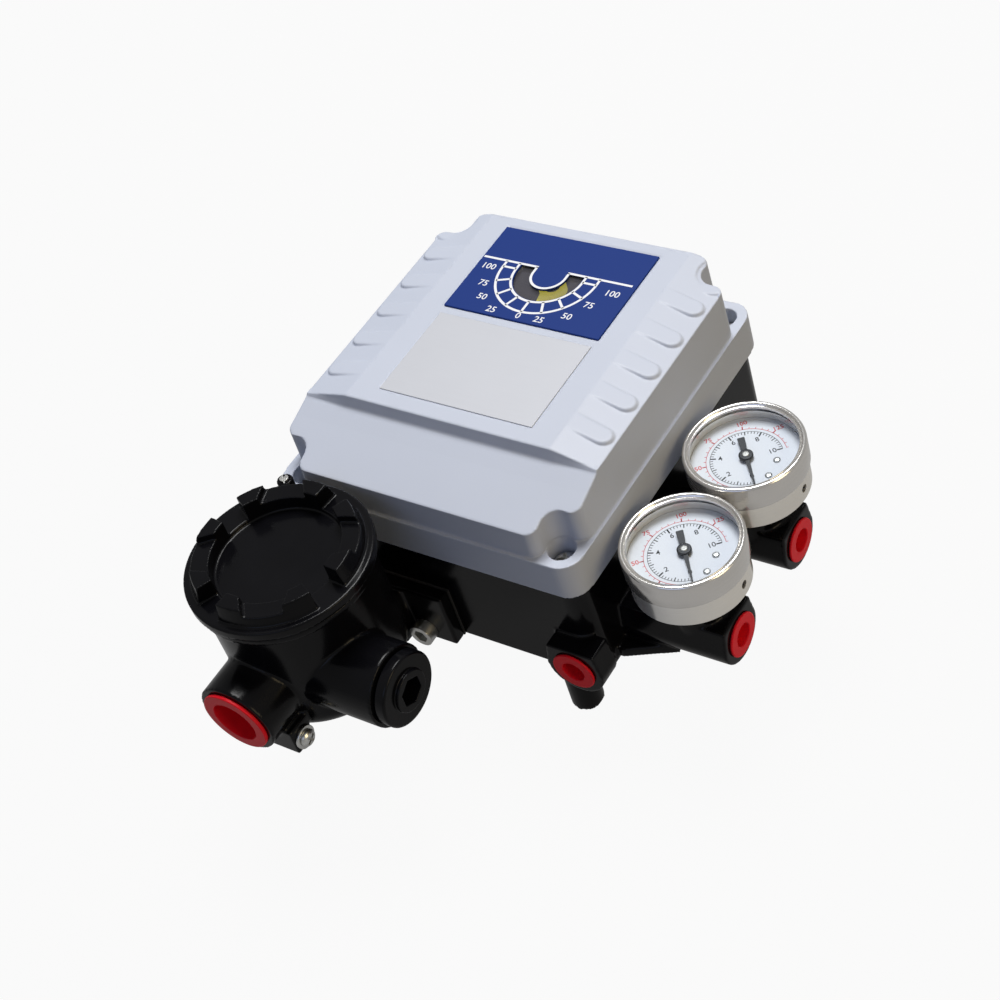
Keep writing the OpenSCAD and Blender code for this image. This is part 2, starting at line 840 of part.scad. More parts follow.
// Two screws through the plate, and the lock screw beside the cap
module terminal_box_screws() {
  shank = plate_t + plate_gasket_t + wall;
  slot = [8, 0.6, 0.9];
  lock_len = lock_screw_len + lock_screw_rise;
  color(steel) at_box_screws(plate_y - plate_t) mirror([0, 0, 1]) difference() {
    union() {
      cylinder(r = box_head_r, h = box_head_h);
      translate([0, 0, -shank]) cylinder(r = box_screw_r, h = shank);
    }
    translate([0, 0, box_head_h - box_key_depth]) hexagon(box_key_af, box_key_depth + past);
  }
  color(steel) translate([box_x, box_y, lock_top - lock_screw_len]) rotate([0, 0, lock_a])
    translate([lock_r, 0, 0]) difference() {
      cylinder(r = lock_screw_r, h = lock_len);
      translate([-slot[0] / 2, -slot[1] / 2, lock_len - slot[2]]) cube(slot);
    }
}

// One group of the cap's crown: two raised blocks with a saddle between them
module crown_group() {
  inner = crown_r0 - 2 * past;
  difference() {
    rotate([0, 0, -crown_sweep / 2]) rotate_extrude(angle = crown_sweep) polygon([[inner, -bite],
      [crown_r1, -bite], [crown_r1, 0], [crown_r1 - crown_lean, crown_h], [inner, crown_h]]);
    translate([0, 0, crown_h - saddle_drop]) linear_extrude(saddle_drop + past)
      polygon([[inner - past, -saddle_in], [crown_r0, -saddle_in], [crown_r1 + past, -saddle_out],
        [crown_r1 + past, saddle_out], [crown_r0, saddle_in], [inner - past, saddle_in]]);
  }
}

module terminal_cap() {
  stem = cap_thread_r - side_gap;
  color(black_paint) translate([box_x, box_y, cap_z]) difference() {
    union() {
      cylinder(r = cap_r, h = cap_rim_h);
      translate([0, 0, -cap_skirt_h]) cylinder(r = stem, h = cap_skirt_h + bite);
      for (i = [0 : crown_count - 1]) rotate([0, 0, crown_from + i * 360 / crown_count])
        translate([0, 0, cap_rim_h]) crown_group();
    }
    translate([0, 0, cap_rim_h - cap_dish]) cylinder(r = crown_r0, h = cap_dish + crown_h + past);
    translate([0, 0, -cap_skirt_h - past]) cylinder(r = stem - cap_skirt_wall, h = cap_skirt_h + past);
  }
}

module cap_o_ring() {
  color(dark_rubber) translate([box_x, box_y, box_top]) ring(seal_r1, seal_r0, seal_t);
}

module terminal_block() {
  color("#e9e5d8") translate([box_x, box_y, box_bottom + box_floor]) difference() {
    translate([-block_size[0] / 2, -block_size[1] / 2, 0]) cube(block_size);
    for (i = [0 : terminal_count - 1])
      translate([(i - (terminal_count - 1) / 2) * terminal_pitch, 0, block_size[2] - terminal_t])
        cylinder(r = terminal_r + slip_fit, h = terminal_t + past);
  }
}

module terminal_screws() {
  slot = [5, 0.7, 0.8];
  color(brass) for (i = [0 : terminal_count - 1])
    translate([box_x + (i - (terminal_count - 1) / 2) * terminal_pitch, box_y,
      box_bottom + box_floor + block_size[2] - terminal_t]) difference() {
      cylinder(r = terminal_r, h = 2 * terminal_t);
      translate([-slot[0] / 2, -slot[1] / 2, 2 * terminal_t - slot[2]]) cube(slot);
    }
}

module earth_screw() {
  slot = [8, 0.9, 1.1];
  head_top = earth_washer_t + earth_head_t;
  color(steel) translate([earth_x, earth_y, earth_z]) toward_right() difference() {
    union() {
      cylinder(r = earth_washer_r, h = earth_washer_t);
      cylinder(r = earth_head_r, h = head_top);
      translate([0, 0, bite - earth_hole]) cylinder(r = earth_shank_r, h = earth_hole);
    }
    translate([-slot[0] / 2, -slot[1] / 2, head_top - slot[2]]) cube(slot);
  }
}

// Gauge pieces, drawn around the gauge's own axis with its back at Z = 0
module gauge_case() {
  color(steel) difference() {
    cylinder(r = case_r, h = case_h);
    translate([0, 0, case_wall]) cylinder(r = case_r - case_wall, h = case_h);
    translate([0, 0, -past]) cylinder(r = socket_r + slip_fit, h = case_wall + 2 * past);
    translate([case_r - case_wall - past, 0, vent_z]) toward_right()
      cylinder(r = vent_r, h = case_wall + 2 * past);
  }
}
module gauge_bezel() {
  lip_z = case_h + lens_thick;
  roll = (gauge_h - lip_z) / 2;
  color(steel) rotate_extrude() {
    translate([case_r + slip_fit, lip_z - bezel_skirt]) square([bezel_t - slip_fit, bezel_skirt]);
    translate([bezel_r - bezel_lip, lip_z]) square([bezel_lip - roll, gauge_h - lip_z]);
    translate([bezel_r - bezel_lip, lip_z]) square([bezel_lip, gauge_h - lip_z - roll]);
    translate([bezel_r - roll, gauge_h - roll]) circle(r = roll);
  }
}
module gauge_lens() {
  color("#e6eef2", 0.35) translate([0, 0, case_h]) cylinder(r = case_r, h = lens_thick);
}
module gauge_dial() {
  color(white_card) translate([0, 0, case_h - dial_drop - dial_thick])
    ring(case_r - case_wall - slip_fit, arbor_r + side_gap, dial_thick);
}
module gauge_pointer() {
  blade_z = case_h - dial_drop + blade_rise;
  foot_z = case_wall + socket_block_h + arbor_foot;
  tip_w = 0.5;
  root_w = 1.6;
  tail_w = 2.2;
  color(black_paint) union() {
    translate([0, 0, foot_z]) cylinder(r = arbor_r, h = blade_z + pointer_t - foot_z);
    translate([0, 0, blade_z]) cylinder(r = hub_r, h = pointer_t + hub_rise);
    translate([0, 0, blade_z]) rotate([0, 0, pointer_a]) linear_extrude(pointer_t)
      polygon([[-pointer_tail, -tail_w / 2], [0, -root_w / 2], [pointer_len, -tip_w / 2],
        [pointer_len, tip_w / 2], [0, root_w / 2], [-pointer_tail, tail_w / 2]]);
  }
}
module gauge_socket() {
  arm = tube_r + tube_wire_r;
  color(brass) union() {
    translate([0, 0, -socket_neck]) hexagon(socket_af, socket_neck);
    translate([0, 0, -socket_neck - thread_len]) cylinder(r = thread_r, h = thread_len + bite);
    translate([0, 0, -past]) cylinder(r = socket_r, h = case_wall + past + socket_block_h);
    translate([-arm, -movement_l / 4, case_wall]) cube([arm, movement_l / 2, socket_block_h]);
  }
}
module gauge_tube() {
  color(brass) translate([0, 0, case_wall + socket_block_h + tube_wire_r]) rotate([0, 0, 180])
    rotate_extrude(angle = tube_sweep) translate([tube_r, 0]) circle(r = tube_wire_r);
}
module gauge_movement() {
  h = case_h - dial_drop - dial_thick - case_wall - socket_block_h;
  color(brass) translate([0, 0, case_wall + socket_block_h]) difference() {
    translate([-movement_w / 2, -movement_l / 2, 0]) cube([movement_w, movement_l, h]);
    translate([0, 0, past]) cylinder(r = arbor_r + run_fit, h = h);
  }
}
module at_gauge(y) {
  translate([gauge_x, y, gauge_z]) children();
}

module main_shaft() {
  color(steel) translate([dial_x, dial_y, 0]) difference() {
    union() {
      translate([0, 0, lever_z + lever_t]) cylinder(r = shaft_r, h = bush_top - lever_z - lever_t + past);
      translate([-tenon / 2, -tenon / 2, lever_z]) cube([tenon, tenon, lever_t + bite]);
      translate([0, 0, lever_z - lever_nut_h - past]) cylinder(r = stud_r, h = lever_nut_h + 2 * past);
      translate([0, 0, bush_top + end_play]) cylinder(r = collar_r, h = collar_t);
      translate([0, 0, bush_top]) cylinder(r = cam_seat_r, h = cam_z - bush_top);
      translate([0, 0, cam_z - past]) cylinder(r = cam_stud_r, h = cam_t + cam_nut_h + past);
      translate([0, 0, cam_z]) cylinder(r = stem_r, h = indicator_z + indicator_t - cam_z);
    }
    translate([0, 0, circlip_z]) ring(shaft_r + past, shaft_r - groove_depth, circlip_t);
  }
}

module shaft_circlip() {
  mouth = 7;
  color(steel) translate([dial_x, dial_y, circlip_z]) difference() {
    ring(circlip_r, shaft_r - groove_depth + slip_fit, circlip_t);
    translate([0, -mouth / 2, -past]) cube([circlip_r + past, mouth, circlip_t + 2 * past]);
  }
}

module shaft_lever() {
  hole = tenon + 2 * slip_fit;
  color(steel) translate([dial_x, dial_y, lever_z]) difference() {
    bar([0, 0], [0, -lever_len], lever_w, lever_t);
    translate([-hole / 2, -hole / 2, -past]) cube([hole, hole, lever_t + 2 * past]);
    translate([0, -lever_len, -past]) cylinder(d = pin_tenon_d + 2 * run_fit, h = lever_t + 2 * past);
  }
}

module lever_nut() {
  color(steel) translate([dial_x, dial_y, lever_z - lever_nut_h]) difference() {
    hexagon(lever_nut_af, lever_nut_h);
    translate([0, 0, -past]) cylinder(r = stud_r + run_fit, h = lever_nut_h + 2 * past);
  }
}

// The pin's shoulder rests on the lever, and its thinner end is riveted through it
module lever_pin() {
  color(steel) translate([dial_x, dial_y - lever_len, 0]) {
    translate([0, 0, pin_end_z]) cylinder(d = lever_pin_d, h = lever_z - pin_end_z);
    translate([0, 0, lever_z - bite]) cylinder(d = pin_tenon_d, h = lever_t + 2 * bite);
    translate([0, 0, lever_z + lever_t]) cylinder(d = pin_head_d, h = pin_head_t);
  }
}

module feedback_cam() {
  edge = [for (t = [cam_from : cam_step : cam_to]) cam_edge(t)];
  color(steel) translate([dial_x, dial_y, cam_z]) difference() {
    union() {
      linear_extrude(cam_t) polygon(concat(edge, [[0, 0]]));
      cylinder(r = cam_hub_r, h = cam_t);
    }
    translate([0, 0, -past]) cylinder(r = cam_stud_r + run_fit, h = cam_t + 2 * past);
  }
}

module cam_nut() {
  color(steel) translate([dial_x, dial_y, cam_z + cam_t]) difference() {
    hexagon(cam_nut_af, cam_nut_h);
    translate([0, 0, -past]) cylinder(r = cam_stud_r + run_fit, h = cam_nut_h + 2 * past);
  }
}

module indicator() {
  hub = 5;
  root_w = 7;
  tip_w = 2;
  color("#f2d21c") translate([dial_x, dial_y, indicator_z]) difference() {
    union() {
      cylinder(r = hub, h = indicator_t);
      linear_extrude(indicator_t) polygon([[-root_w / 2, 0], [-tip_w / 2, -indicator_len],
        [tip_w / 2, -indicator_len], [root_w / 2, 0]]);
    }
    translate([0, 0, -past]) cylinder(r = stem_r + run_fit, h = indicator_t + 2 * past);
  }
}

module follower_pivot() {
  color(steel) translate([follower_x, follower_y, floor_z]) {
    cylinder(r = pivot_post_r, h = arm_z - side_gap - floor_z);
    cylinder(r = pivot_r, h = arm_z + arm_t + side_gap + pivot_head_t - floor_z);
    translate([0, 0, arm_z + arm_t + side_gap - floor_z]) cylinder(r = pivot_head_r, h = pivot_head_t);
  }
}

module follower_arm() {
  tip = roller_at(0);
  peg = spring_peg();
  color(brass) difference() {
    union() {
      translate([0, 0, arm_z]) {
        bar(pivot_at, tip, arm_bar_w, arm_t);
        translate([follower_x, follower_y, 0]) cylinder(r = arm_eye_r, h = arm_t);
        translate([peg[0], peg[1], arm_t / 2]) cylinder(r = peg_r, h = arm_t / 2 + peg_h);
      }
      translate([tip[0], tip[1], roller_z - side_gap - roller_head_t]) {
        cylinder(r = roller_pin_r, h = arm_z - roller_z + side_gap + roller_head_t + past);
        cylinder(r = roller_head_r, h = roller_head_t);
      }
    }
    translate([follower_x, follower_y, arm_z - past]) cylinder(r = pivot_r + run_fit, h = arm_t + 2 * past);
  }
}

module follower_roller() {
  tip = roller_at(0);
  color(steel) translate([tip[0], tip[1], roller_z]) ring(roller_r, roller_pin_r + run_fit, roller_h);
}

// A round wire wound around the Y axis: its centre line narrows to a hook at both ends
function coil_at(u, l, r, turns) =
  let (a = 360 * turns * u, reach = min(1, 0.1 + 3 * u, 0.1 + 3 * (1 - u))) [reach * r, a, -l * u];
function coil_ring(c, w, sides) = [for (k = [0 : sides - 1])
  let (q = 360 * k / sides, d = c[0] + w * cos(q)) [d * cos(c[1]), c[2] + w * sin(q), d * sin(c[1])]];
module wound_wire(l, r, w, turns) {
  sides = 8;
  n = 14 * turns;
  skin = [for (i = [0 : n - 1], k = [0 : sides - 1])
    [i * sides + k, (i + 1) * sides + k, (i + 1) * sides + (k + 1) % sides, i * sides + (k + 1) % sides]];
  first = [for (k = [0 : sides - 1]) k];
  last = [for (k = [sides - 1 : -1 : 0]) n * sides + k];
  polyhedron([for (i = [0 : n]) each coil_ring(coil_at(i / n, l, r, turns), w, sides)],
    concat([first], skin, [last]));
}

module feedback_spring() {
  top = spring_peg();
  wire_r0 = 0.45;
  coil_r = 2.6;
  turns = 8;
  room = peg_r + wire_r0 + slip_fit;
  color(steel) translate([top[0], top[1] - room, arm_z + arm_t + peg_h / 2])
    wound_wire(top[1] - beam_y - 2 * room, coil_r, wire_r0, turns);
}

module beam_pivot() {
  color(steel) translate([beam_pivot_x, beam_y, floor_z]) {
    cylinder(r = pivot_post_r, h = beam_z - side_gap - floor_z);
    cylinder(r = beam_pin_r, h = beam_z + beam_h + side_gap + pivot_head_t - floor_z);
    translate([0, 0, beam_z + beam_h + side_gap - floor_z]) cylinder(r = pivot_head_r, h = pivot_head_t);
  }
}

module balance_beam() {
  peg_x = spring_peg()[0];
  color(steel) difference() {
    union() {
      translate([beam_x0, beam_y - beam_t / 2, beam_z]) cube([beam_x1 - beam_x0, beam_t, beam_h]);
      translate([beam_pivot_x, beam_y, beam_z]) cylinder(r = beam_boss_r, h = beam_h);
      translate([peg_x, beam_y, beam_z]) cylinder(r = peg_r, h = arm_z + arm_t + peg_h - beam_z);
    }
    translate([beam_pivot_x, beam_y, beam_z - past])
      cylinder(r = beam_pin_r + run_fit, h = beam_h + 2 * past);
  }
}

module motor_yoke() {
  half = beam_t / 2 + pole_gap + magnet_t;
  color("#5c6066") union() {
    translate([yoke_x0 + yoke_foot_in, beam_y - half / 2, floor_z])
      cube([yoke_x1 - yoke_x0 - 2 * yoke_foot_in, half, yoke_z - floor_z + bite]);
    translate([yoke_x0, beam_y - half - yoke_t, yoke_z])
      cube([yoke_x1 - yoke_x0, 2 * half + 2 * yoke_t, yoke_t]);
    for (s = [-1, 1]) translate([yoke_x0, beam_y + s * (half + yoke_t / 2) - yoke_t / 2, yoke_z])
      cube([yoke_x1 - yoke_x0, yoke_t, yoke_t + magnet_h]);
  }
}

module motor_magnets() {
  off = beam_t / 2 + pole_gap + magnet_t / 2;
  color("#3a3d42") for (s = [-1, 1])
    translate([yoke_x0 + magnet_in, beam_y + s * off - magnet_t / 2, yoke_z + yoke_t])
      cube([magnet_len, magnet_t, magnet_h]);
}

module motor_coil() {
  y = beam_t / 2 + coil_room_y;
  low = yoke_z + yoke_t;
  room_z0 = beam_z - coil_room_z;
  room_h = beam_h + 2 * coil_room_z;
  color("#a4562a") difference() {
    translate([coil_x0, beam_y - y - coil_t / 2, low])
      cube([coil_len, 2 * y + coil_t, room_z0 + room_h + coil_t / 2 - low]);
    translate([coil_x0 - past, beam_y - y, room_z0]) cube([coil_len + 2 * past, 2 * y, room_h]);
  }
}

module pilot_block() {
  color("#aeb4bb") difference() {
    translate([pilot_x0, pilot_y0, floor_z]) cube([pilot_w, pilot_l, pilot_h]);
    translate([pilot_x0 + bore_end, spool_y, spool_z]) toward_right()
      cylinder(r = spool_r + run_fit, h = pilot_w);
    translate([manual_x, manual_y, floor_z + pilot_h - manual_depth])
      cylinder(r = manual_r + run_fit, h = manual_depth + past);
  }
}

module pilot_spool() {
  pitch = (spool_len - spool_land) / (spool_land_count - 1);
  start = pilot_x0 + bore_end + (pilot_w - bore_end - spool_len) / 2;
  color(steel) translate([start, spool_y, spool_z]) toward_right() {
    cylinder(r = spool_waist_r, h = spool_len);
    for (i = [0 : spool_land_count - 1]) translate([0, 0, i * pitch]) cylinder(r = spool_r, h = spool_land);
  }
}

module pilot_cap() {
  color("#aeb4bb") translate([pilot_x0 + pilot_w, spool_y, spool_z]) toward_right()
    cylinder(r = pilot_cap_r, h = pilot_cap_t);
}

module nozzle_block() {
  top = floor_z + pilot_h;
  tip = beam_y - beam_t / 2 - nozzle_gap;
  back = pilot_y0 + pilot_l - nozzle_size;
  z = beam_z + beam_h / 2;
  color(brass) difference() {
    union() {
      translate([nozzle_x - nozzle_size / 2, back, top])
        cube([nozzle_size, nozzle_size, z + nozzle_size / 2 - top]);
      translate([nozzle_x, back + bite, z]) rotate([-90, 0, 0])
        cylinder(r = nozzle_r, h = tip - back - bite);
    }
    translate([nozzle_x, back + 2 * bite, z]) rotate([-90, 0, 0])
      cylinder(r = nozzle_bore_r, h = tip - back);
  }
}

module auto_manual_screw() {
  slot = [10, 1, 1.2];
  top = floor_z + pilot_h;
  color(brass) translate([manual_x, manual_y, top]) difference() {
    union() {
      translate([0, 0, side_gap]) cylinder(r = manual_head_r, h = manual_head_t);
      translate([0, 0, bite - manual_depth]) cylinder(r = manual_r, h = manual_depth);
    }
    translate([-slot[0] / 2, -slot[1] / 2, side_gap + manual_head_t - slot[2]]) cube(slot);
  }
}

// A thumbwheel with finger notches on a stem
module thumbwheel(r) {
  notch = 1;
  translate([0, 0, floor_z + knob_post_h]) {
    difference() {
      translate([0, 0, side_gap]) cylinder(r = r, h = knob_t);
      for (i = [0 : knob_notches - 1]) rotate([0, 0, i * 360 / knob_notches])
        translate([r + notch / 3, 0, 0]) cylinder(r = notch, h = knob_t + past);
    }
    translate([0, 0, -knob_stem_len]) cylinder(r = knob_stem_r, h = knob_stem_len + past);
  }
}
module zero_knob() {
  color(brass) translate([zero_x, zero_y, 0]) thumbwheel(knob_r);
}
module span_knob() {
  color(brass) translate([span_x, span_y, 0]) thumbwheel(span_knob_r);
}

base_casting();
shaft_bush();
cover_gasket();
main_cover();
cover_screws();
window_lens();
dial_plate();
name_plate();
supply_plug();
output_plugs();
conduit_plug();
blanking_plug();
terminal_box();
terminal_box_gasket();
terminal_box_screws();
terminal_cap();
cap_o_ring();
terminal_block();
terminal_screws();
earth_screw();
at_gauge(front_y) gauge_case();  // front_gauge_case
at_gauge(front_y) gauge_bezel();  // front_gauge_bezel
at_gauge(front_y) gauge_lens();  // front_gauge_lens
at_gauge(front_y) gauge_dial();  // front_gauge_dial
at_gauge(front_y) gauge_pointer();  // front_gauge_pointer
at_gauge(front_y) gauge_socket();  // front_gauge_socket
at_gauge(front_y) gauge_tube();  // front_gauge_tube
at_gauge(front_y) gauge_movement();  // front_gauge_movement
at_gauge(rear_y) gauge_case();  // rear_gauge_case
at_gauge(rear_y) gauge_bezel();  // rear_gauge_bezel
at_gauge(rear_y) gauge_lens();  // rear_gauge_lens
at_gauge(rear_y) gauge_dial();  // rear_gauge_dial
at_gauge(rear_y) gauge_pointer();  // rear_gauge_pointer
at_gauge(rear_y) gauge_socket();  // rear_gauge_socket
at_gauge(rear_y) gauge_tube();  // rear_gauge_tube
at_gauge(rear_y) gauge_movement();  // rear_gauge_movement
main_shaft();
shaft_lever();
lever_nut();
lever_pin();
shaft_circlip();
feedback_cam();
cam_nut();
indicator();
follower_pivot();
follower_arm();
follower_roller();
feedback_spring();
beam_pivot();
balance_beam();
motor_yoke();
motor_magnets();
motor_coil();
pilot_block();
pilot_spool();
pilot_cap();
nozzle_block();
auto_manual_screw();
zero_knob();
span_knob();
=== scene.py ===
"""Looks of a rotary valve positioner, built around its packed frame."""

import json
import math

import bmesh
import bpy
import numpy as np
from mathutils import Matrix, Vector

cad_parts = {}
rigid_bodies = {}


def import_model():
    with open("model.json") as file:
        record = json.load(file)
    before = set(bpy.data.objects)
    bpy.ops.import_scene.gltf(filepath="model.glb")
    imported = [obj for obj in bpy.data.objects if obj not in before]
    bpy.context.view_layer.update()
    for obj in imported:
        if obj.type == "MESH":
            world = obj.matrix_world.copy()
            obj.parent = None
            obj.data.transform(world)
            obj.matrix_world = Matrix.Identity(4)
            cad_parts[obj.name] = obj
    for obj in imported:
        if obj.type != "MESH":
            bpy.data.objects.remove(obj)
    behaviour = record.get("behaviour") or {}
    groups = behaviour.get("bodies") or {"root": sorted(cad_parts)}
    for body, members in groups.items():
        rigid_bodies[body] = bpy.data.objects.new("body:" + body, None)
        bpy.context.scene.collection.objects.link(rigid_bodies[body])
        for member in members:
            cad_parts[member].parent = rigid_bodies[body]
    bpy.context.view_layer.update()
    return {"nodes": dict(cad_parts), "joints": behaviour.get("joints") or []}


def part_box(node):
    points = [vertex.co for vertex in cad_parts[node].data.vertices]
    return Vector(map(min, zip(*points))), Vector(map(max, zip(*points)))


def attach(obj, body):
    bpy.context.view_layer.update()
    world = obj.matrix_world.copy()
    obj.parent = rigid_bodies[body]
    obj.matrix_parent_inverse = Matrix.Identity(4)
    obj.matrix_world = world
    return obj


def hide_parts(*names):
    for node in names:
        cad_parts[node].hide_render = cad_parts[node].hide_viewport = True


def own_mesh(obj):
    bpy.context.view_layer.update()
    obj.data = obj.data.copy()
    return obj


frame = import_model()
NODES = frame["nodes"]
JOINTS = {joint["name"]: joint for joint in frame["joints"]}

bl_info = {
    "name": "Valve positioner",
    "version": (1, 0, 0),
    "blender": (4, 5, 0),
    "location": "View3D > Sidebar > Positioner",
    "description": "Builds the finish and the fine shapes of a rotary valve positioner",
    "category": "Object",
}

MM = 0.001
HOUSING = "housing"
GAUGES = ("front", "rear")


def joint_axis(name):
    """Point on a joint's axis."""
    return Vector(JOINTS[name]["pos_m"])


# Properties


def length(name, text, default):
    """A size in millimetres."""
    return bpy.props.FloatProperty(name=name, description=text, default=default, min=0.0, max=500.0)


def shade(name, text, default):
    """A colour."""
    return bpy.props.FloatVectorProperty(
        name=name, description=text, subtype="COLOR", size=3, default=default, min=0.0, max=1.0
    )


def count(name, text, default):
    """A number of rounds."""
    return bpy.props.IntProperty(name=name, description=text, default=default, min=1, max=40)


class CoverSettings(bpy.types.PropertyGroup):
    """Fine shape and paint of the cover."""

    paint: shade("Paint", "Colour of the cover", (0.56, 0.60, 0.70))
    grain: length("Grain", "Size of the cover's faces", 0.4)
    softness: count("Softness", "Rounds of smoothing over the cover's edges", 2)
    notch: length("Notch", "Radius of the corner notches", 5.3)
    shoulder: length("Shoulder", "Radius of the walls beside a notch", 3.6)
    finger: length("Finger", "Half the width of a finger rib", 3.5)
    rise: length("Rise", "Height of a finger's tip over the band around it", 1.3)
    fall: length("Fall", "Drop of the top at its side edges", 3.7)
    reach: length("Reach", "Width of the band that falls", 16.5)
    fullness: length("Fullness", "Outward swell of the upper walls", 1.5)


class CastingSettings(bpy.types.PropertyGroup):
    """Softness and paint of the black castings."""

    paint: shade("Paint", "Colour of the castings", (0.003, 0.003, 0.004))
    base_grain: length("Base grain", "Size of the base casting's faces", 0.6)
    box_grain: length("Box grain", "Size of the terminal box's faces", 0.6)
    cap_grain: length("Cap grain", "Size of the cap's faces", 0.4)
    softness: count("Softness", "Rounds of smoothing over cast edges", 2)


class DialSettings(bpy.types.PropertyGroup):
    """Printed marks on the blue plate."""

    blue: shade("Blue", "Colour of the plate", (0.008, 0.034, 0.20))
    white: shade("White", "Colour of the marks", (0.86, 0.87, 0.90))
    inner_arc: length("Inner arc", "Radius of the arc at the window", 14.0)
    outer_arc: length("Outer arc", "Radius of the arc under the numbers", 19.6)
    line: length("Line", "Width of the white lines", 0.95)
    figure: length("Figure", "Height of the figures", 2.9)


class GaugeSettings(bpy.types.PropertyGroup):
    """Marks and metal of the pressure gauges."""

    steel: shade("Steel", "Colour of the case", (0.92, 0.90, 0.87))
    black_arc: length("Black arc", "Radius of the black scale", 12.3)
    red_arc: length("Red arc", "Radius of the red scale", 13.6)
    start: bpy.props.FloatProperty(name="Start", description="Angle of the zero mark", default=-51.0)
    sweep: bpy.props.FloatProperty(name="Sweep", description="Turn from zero to full scale", default=-270.0)


class StageSettings(bpy.types.PropertyGroup):
    """Camera and floor."""

    eye: bpy.props.FloatVectorProperty(
        name="Eye", description="Place of the camera", size=3, unit="LENGTH", default=(0.36061, -0.37129, 0.54004)
    )
    forward: bpy.props.FloatVectorProperty(
        name="Forward", description="Viewing direction", size=3, default=(-0.51744, 0.49834, -0.69564)
    )
    right: bpy.props.FloatVectorProperty(
        name="Right", description="Direction of the picture's right side", size=3, default=(0.82292, 0.51271, -0.24483)
    )
    lens: bpy.props.FloatProperty(name="Lens", description="Focal length", default=70.64, unit="CAMERA")
    floor: shade("Floor", "Colour of the floor", (0.28, 0.28, 0.28))


SETTINGS = {
    "positioner_cover": CoverSettings,
    "positioner_casting": CastingSettings,
    "positioner_dial": DialSettings,
    "positioner_gauge": GaugeSettings,
    "positioner_stage": StageSettings,
}


# Shader expressions


class Value:
    """A node socket that takes part in Python expressions."""

    def __init__(self, shader, socket):
        self.shader = shader
        self.socket = socket

    def math(self, operation, first, second):
        node = self.shader.node("ShaderNodeMath", {"operation": operation}, {0: first, 1: second})
        return Value(self.shader, node.outputs[0])

    def __add__(self, other):
        return self.math("ADD", self, other)

    def __rsub__(self, other):
        return self.math("SUBTRACT", other, self)

    def __mul__(self, other):
        return self.math("MULTIPLY", self, other)


class Shader:
    """A material under construction."""

    def __init__(self, name):
        self.material = bpy.data.materials.new(name)
        self.material.use_nodes = True
        self.tree = self.material.node_tree
        self.tree.nodes.clear()
        self.place = Value(self, self.node("ShaderNodeTexCoord").outputs["Object"])

    def node(self, kind, settings=None, sockets=None):
        """Adds a node, sets it up, then fills or links its sockets."""
        node = self.tree.nodes.new(kind)
        for key, setting in (settings or {}).items():
            setattr(node, key, setting)
        for key, given in (sockets or {}).items():
            if isinstance(given, Value):
                self.tree.links.new(given.socket, node.inputs[key])
            elif isinstance(given, bpy.types.NodeSocket):
                self.tree.links.new(given, node.inputs[key])
            else:
                node.inputs[key].default_value = given
        return node

    def stretched(self, scale, centre=(0.0, 0.0, 0.0)):
        """Object coordinates moved to a centre and scaled along each axis."""
        moved = self.node("ShaderNodeVectorMath", {"operation": "SUBTRACT"}, {0: self.place, 1: tuple(centre)})
        node = self.node("ShaderNodeVectorMath", {"operation": "MULTIPLY"}, {0: moved.outputs[0], 1: tuple(scale)})
        return Value(self, node.outputs[0])

    def noise(self, scale, detail=2.0, vector=None):
        """Fractal noise from 0 to 1."""
        node = self.node(
            "ShaderNodeTexNoise", {}, {"Vector": vector or self.place, "Scale": scale, "Detail": detail}
        )
        return Value(self, node.outputs[0])

    def span(self, value, low, high):
        """Moves a value from 0...1 to low...high."""
        node = self.node("ShaderNodeMapRange", {}, {"Value": value, "To Min": low, "To Max": high})
        return Value(self, node.outputs[0])

    def between(self, factor, first, second):
        """Mixes two colours."""
        node = self.node("ShaderNodeMix", {"data_type": "RGBA"}, {0: factor, 6: rgba(first), 7: rgba(second)})
        return Value(self, node.outputs[2])

    def bump(self, height, strength, distance):
        """A normal from a height."""
        node = self.node("ShaderNodeBump", {}, {"Height": height, "Strength": strength, "Distance": distance})
        return Value(self, node.outputs[0])

    def mixed(self, factor, first, second):
        """Mixes two shaders."""
        return self.node("ShaderNodeMixShader", {}, {0: factor, 1: first.outputs[0], 2: second.outputs[0]})

    def end(self, surface):
        """Ends the material in a shader."""
        self.node("ShaderNodeOutputMaterial", {}, {"Surface": surface.outputs[0]})
        return self.material

    def finish(self, **sockets):
        """Ends the material in a principled shader."""
        named = {key.replace("_", " ").title().replace("Ior", "IOR"): given for key, given in sockets.items()}
        return self.end(self.node("ShaderNodeBsdfPrincipled", {}, named))


def rgba(colour):
    """A colour with full alpha, or a linked value as it is."""
    return colour if isinstance(colour, Value) else (*tuple(colour)[:3], 1.0)


def tinted(colour, amount):
    """A colour made lighter or darker."""
    return tuple(min(1.0, channel * amount) for channel in tuple(colour)[:3])


# Materials

FINISHES = {}


def finish_of(name, make, *arguments):
    """A material made once and then shared."""
    if name not in FINISHES:
        FINISHES[name] = make(name, *arguments)
    return FINISHES[name]


def stainless():
    """Steel of screws and shafts."""
    return finish_of("stainless", plain_metal, (0.62, 0.62, 0.60))


def brass():
    """Brass of sockets, arms and knobs."""
    return finish_of("brass", plain_metal, (0.62, 0.45, 0.18))


def cover_paint(name, colour):
    """Satin paint with a fine texture."""
    sh = Shader(name)
    grain = sh.noise(1500.0, 2.0)
    cloud = sh.noise(28.0, 3.0)
    base = sh.between(cloud, tinted(colour, 0.965), tinted(colour, 1.03))
    rough = sh.span(cloud * 0.5 + grain * 0.5, 0.40, 0.54)
    return sh.finish(
        base_color=base, roughness=rough, normal=sh.bump(grain, 0.22, 0.00006), coat_weight=0.08,
        coat_roughness=0.15, specular_ior_level=0.25
    )


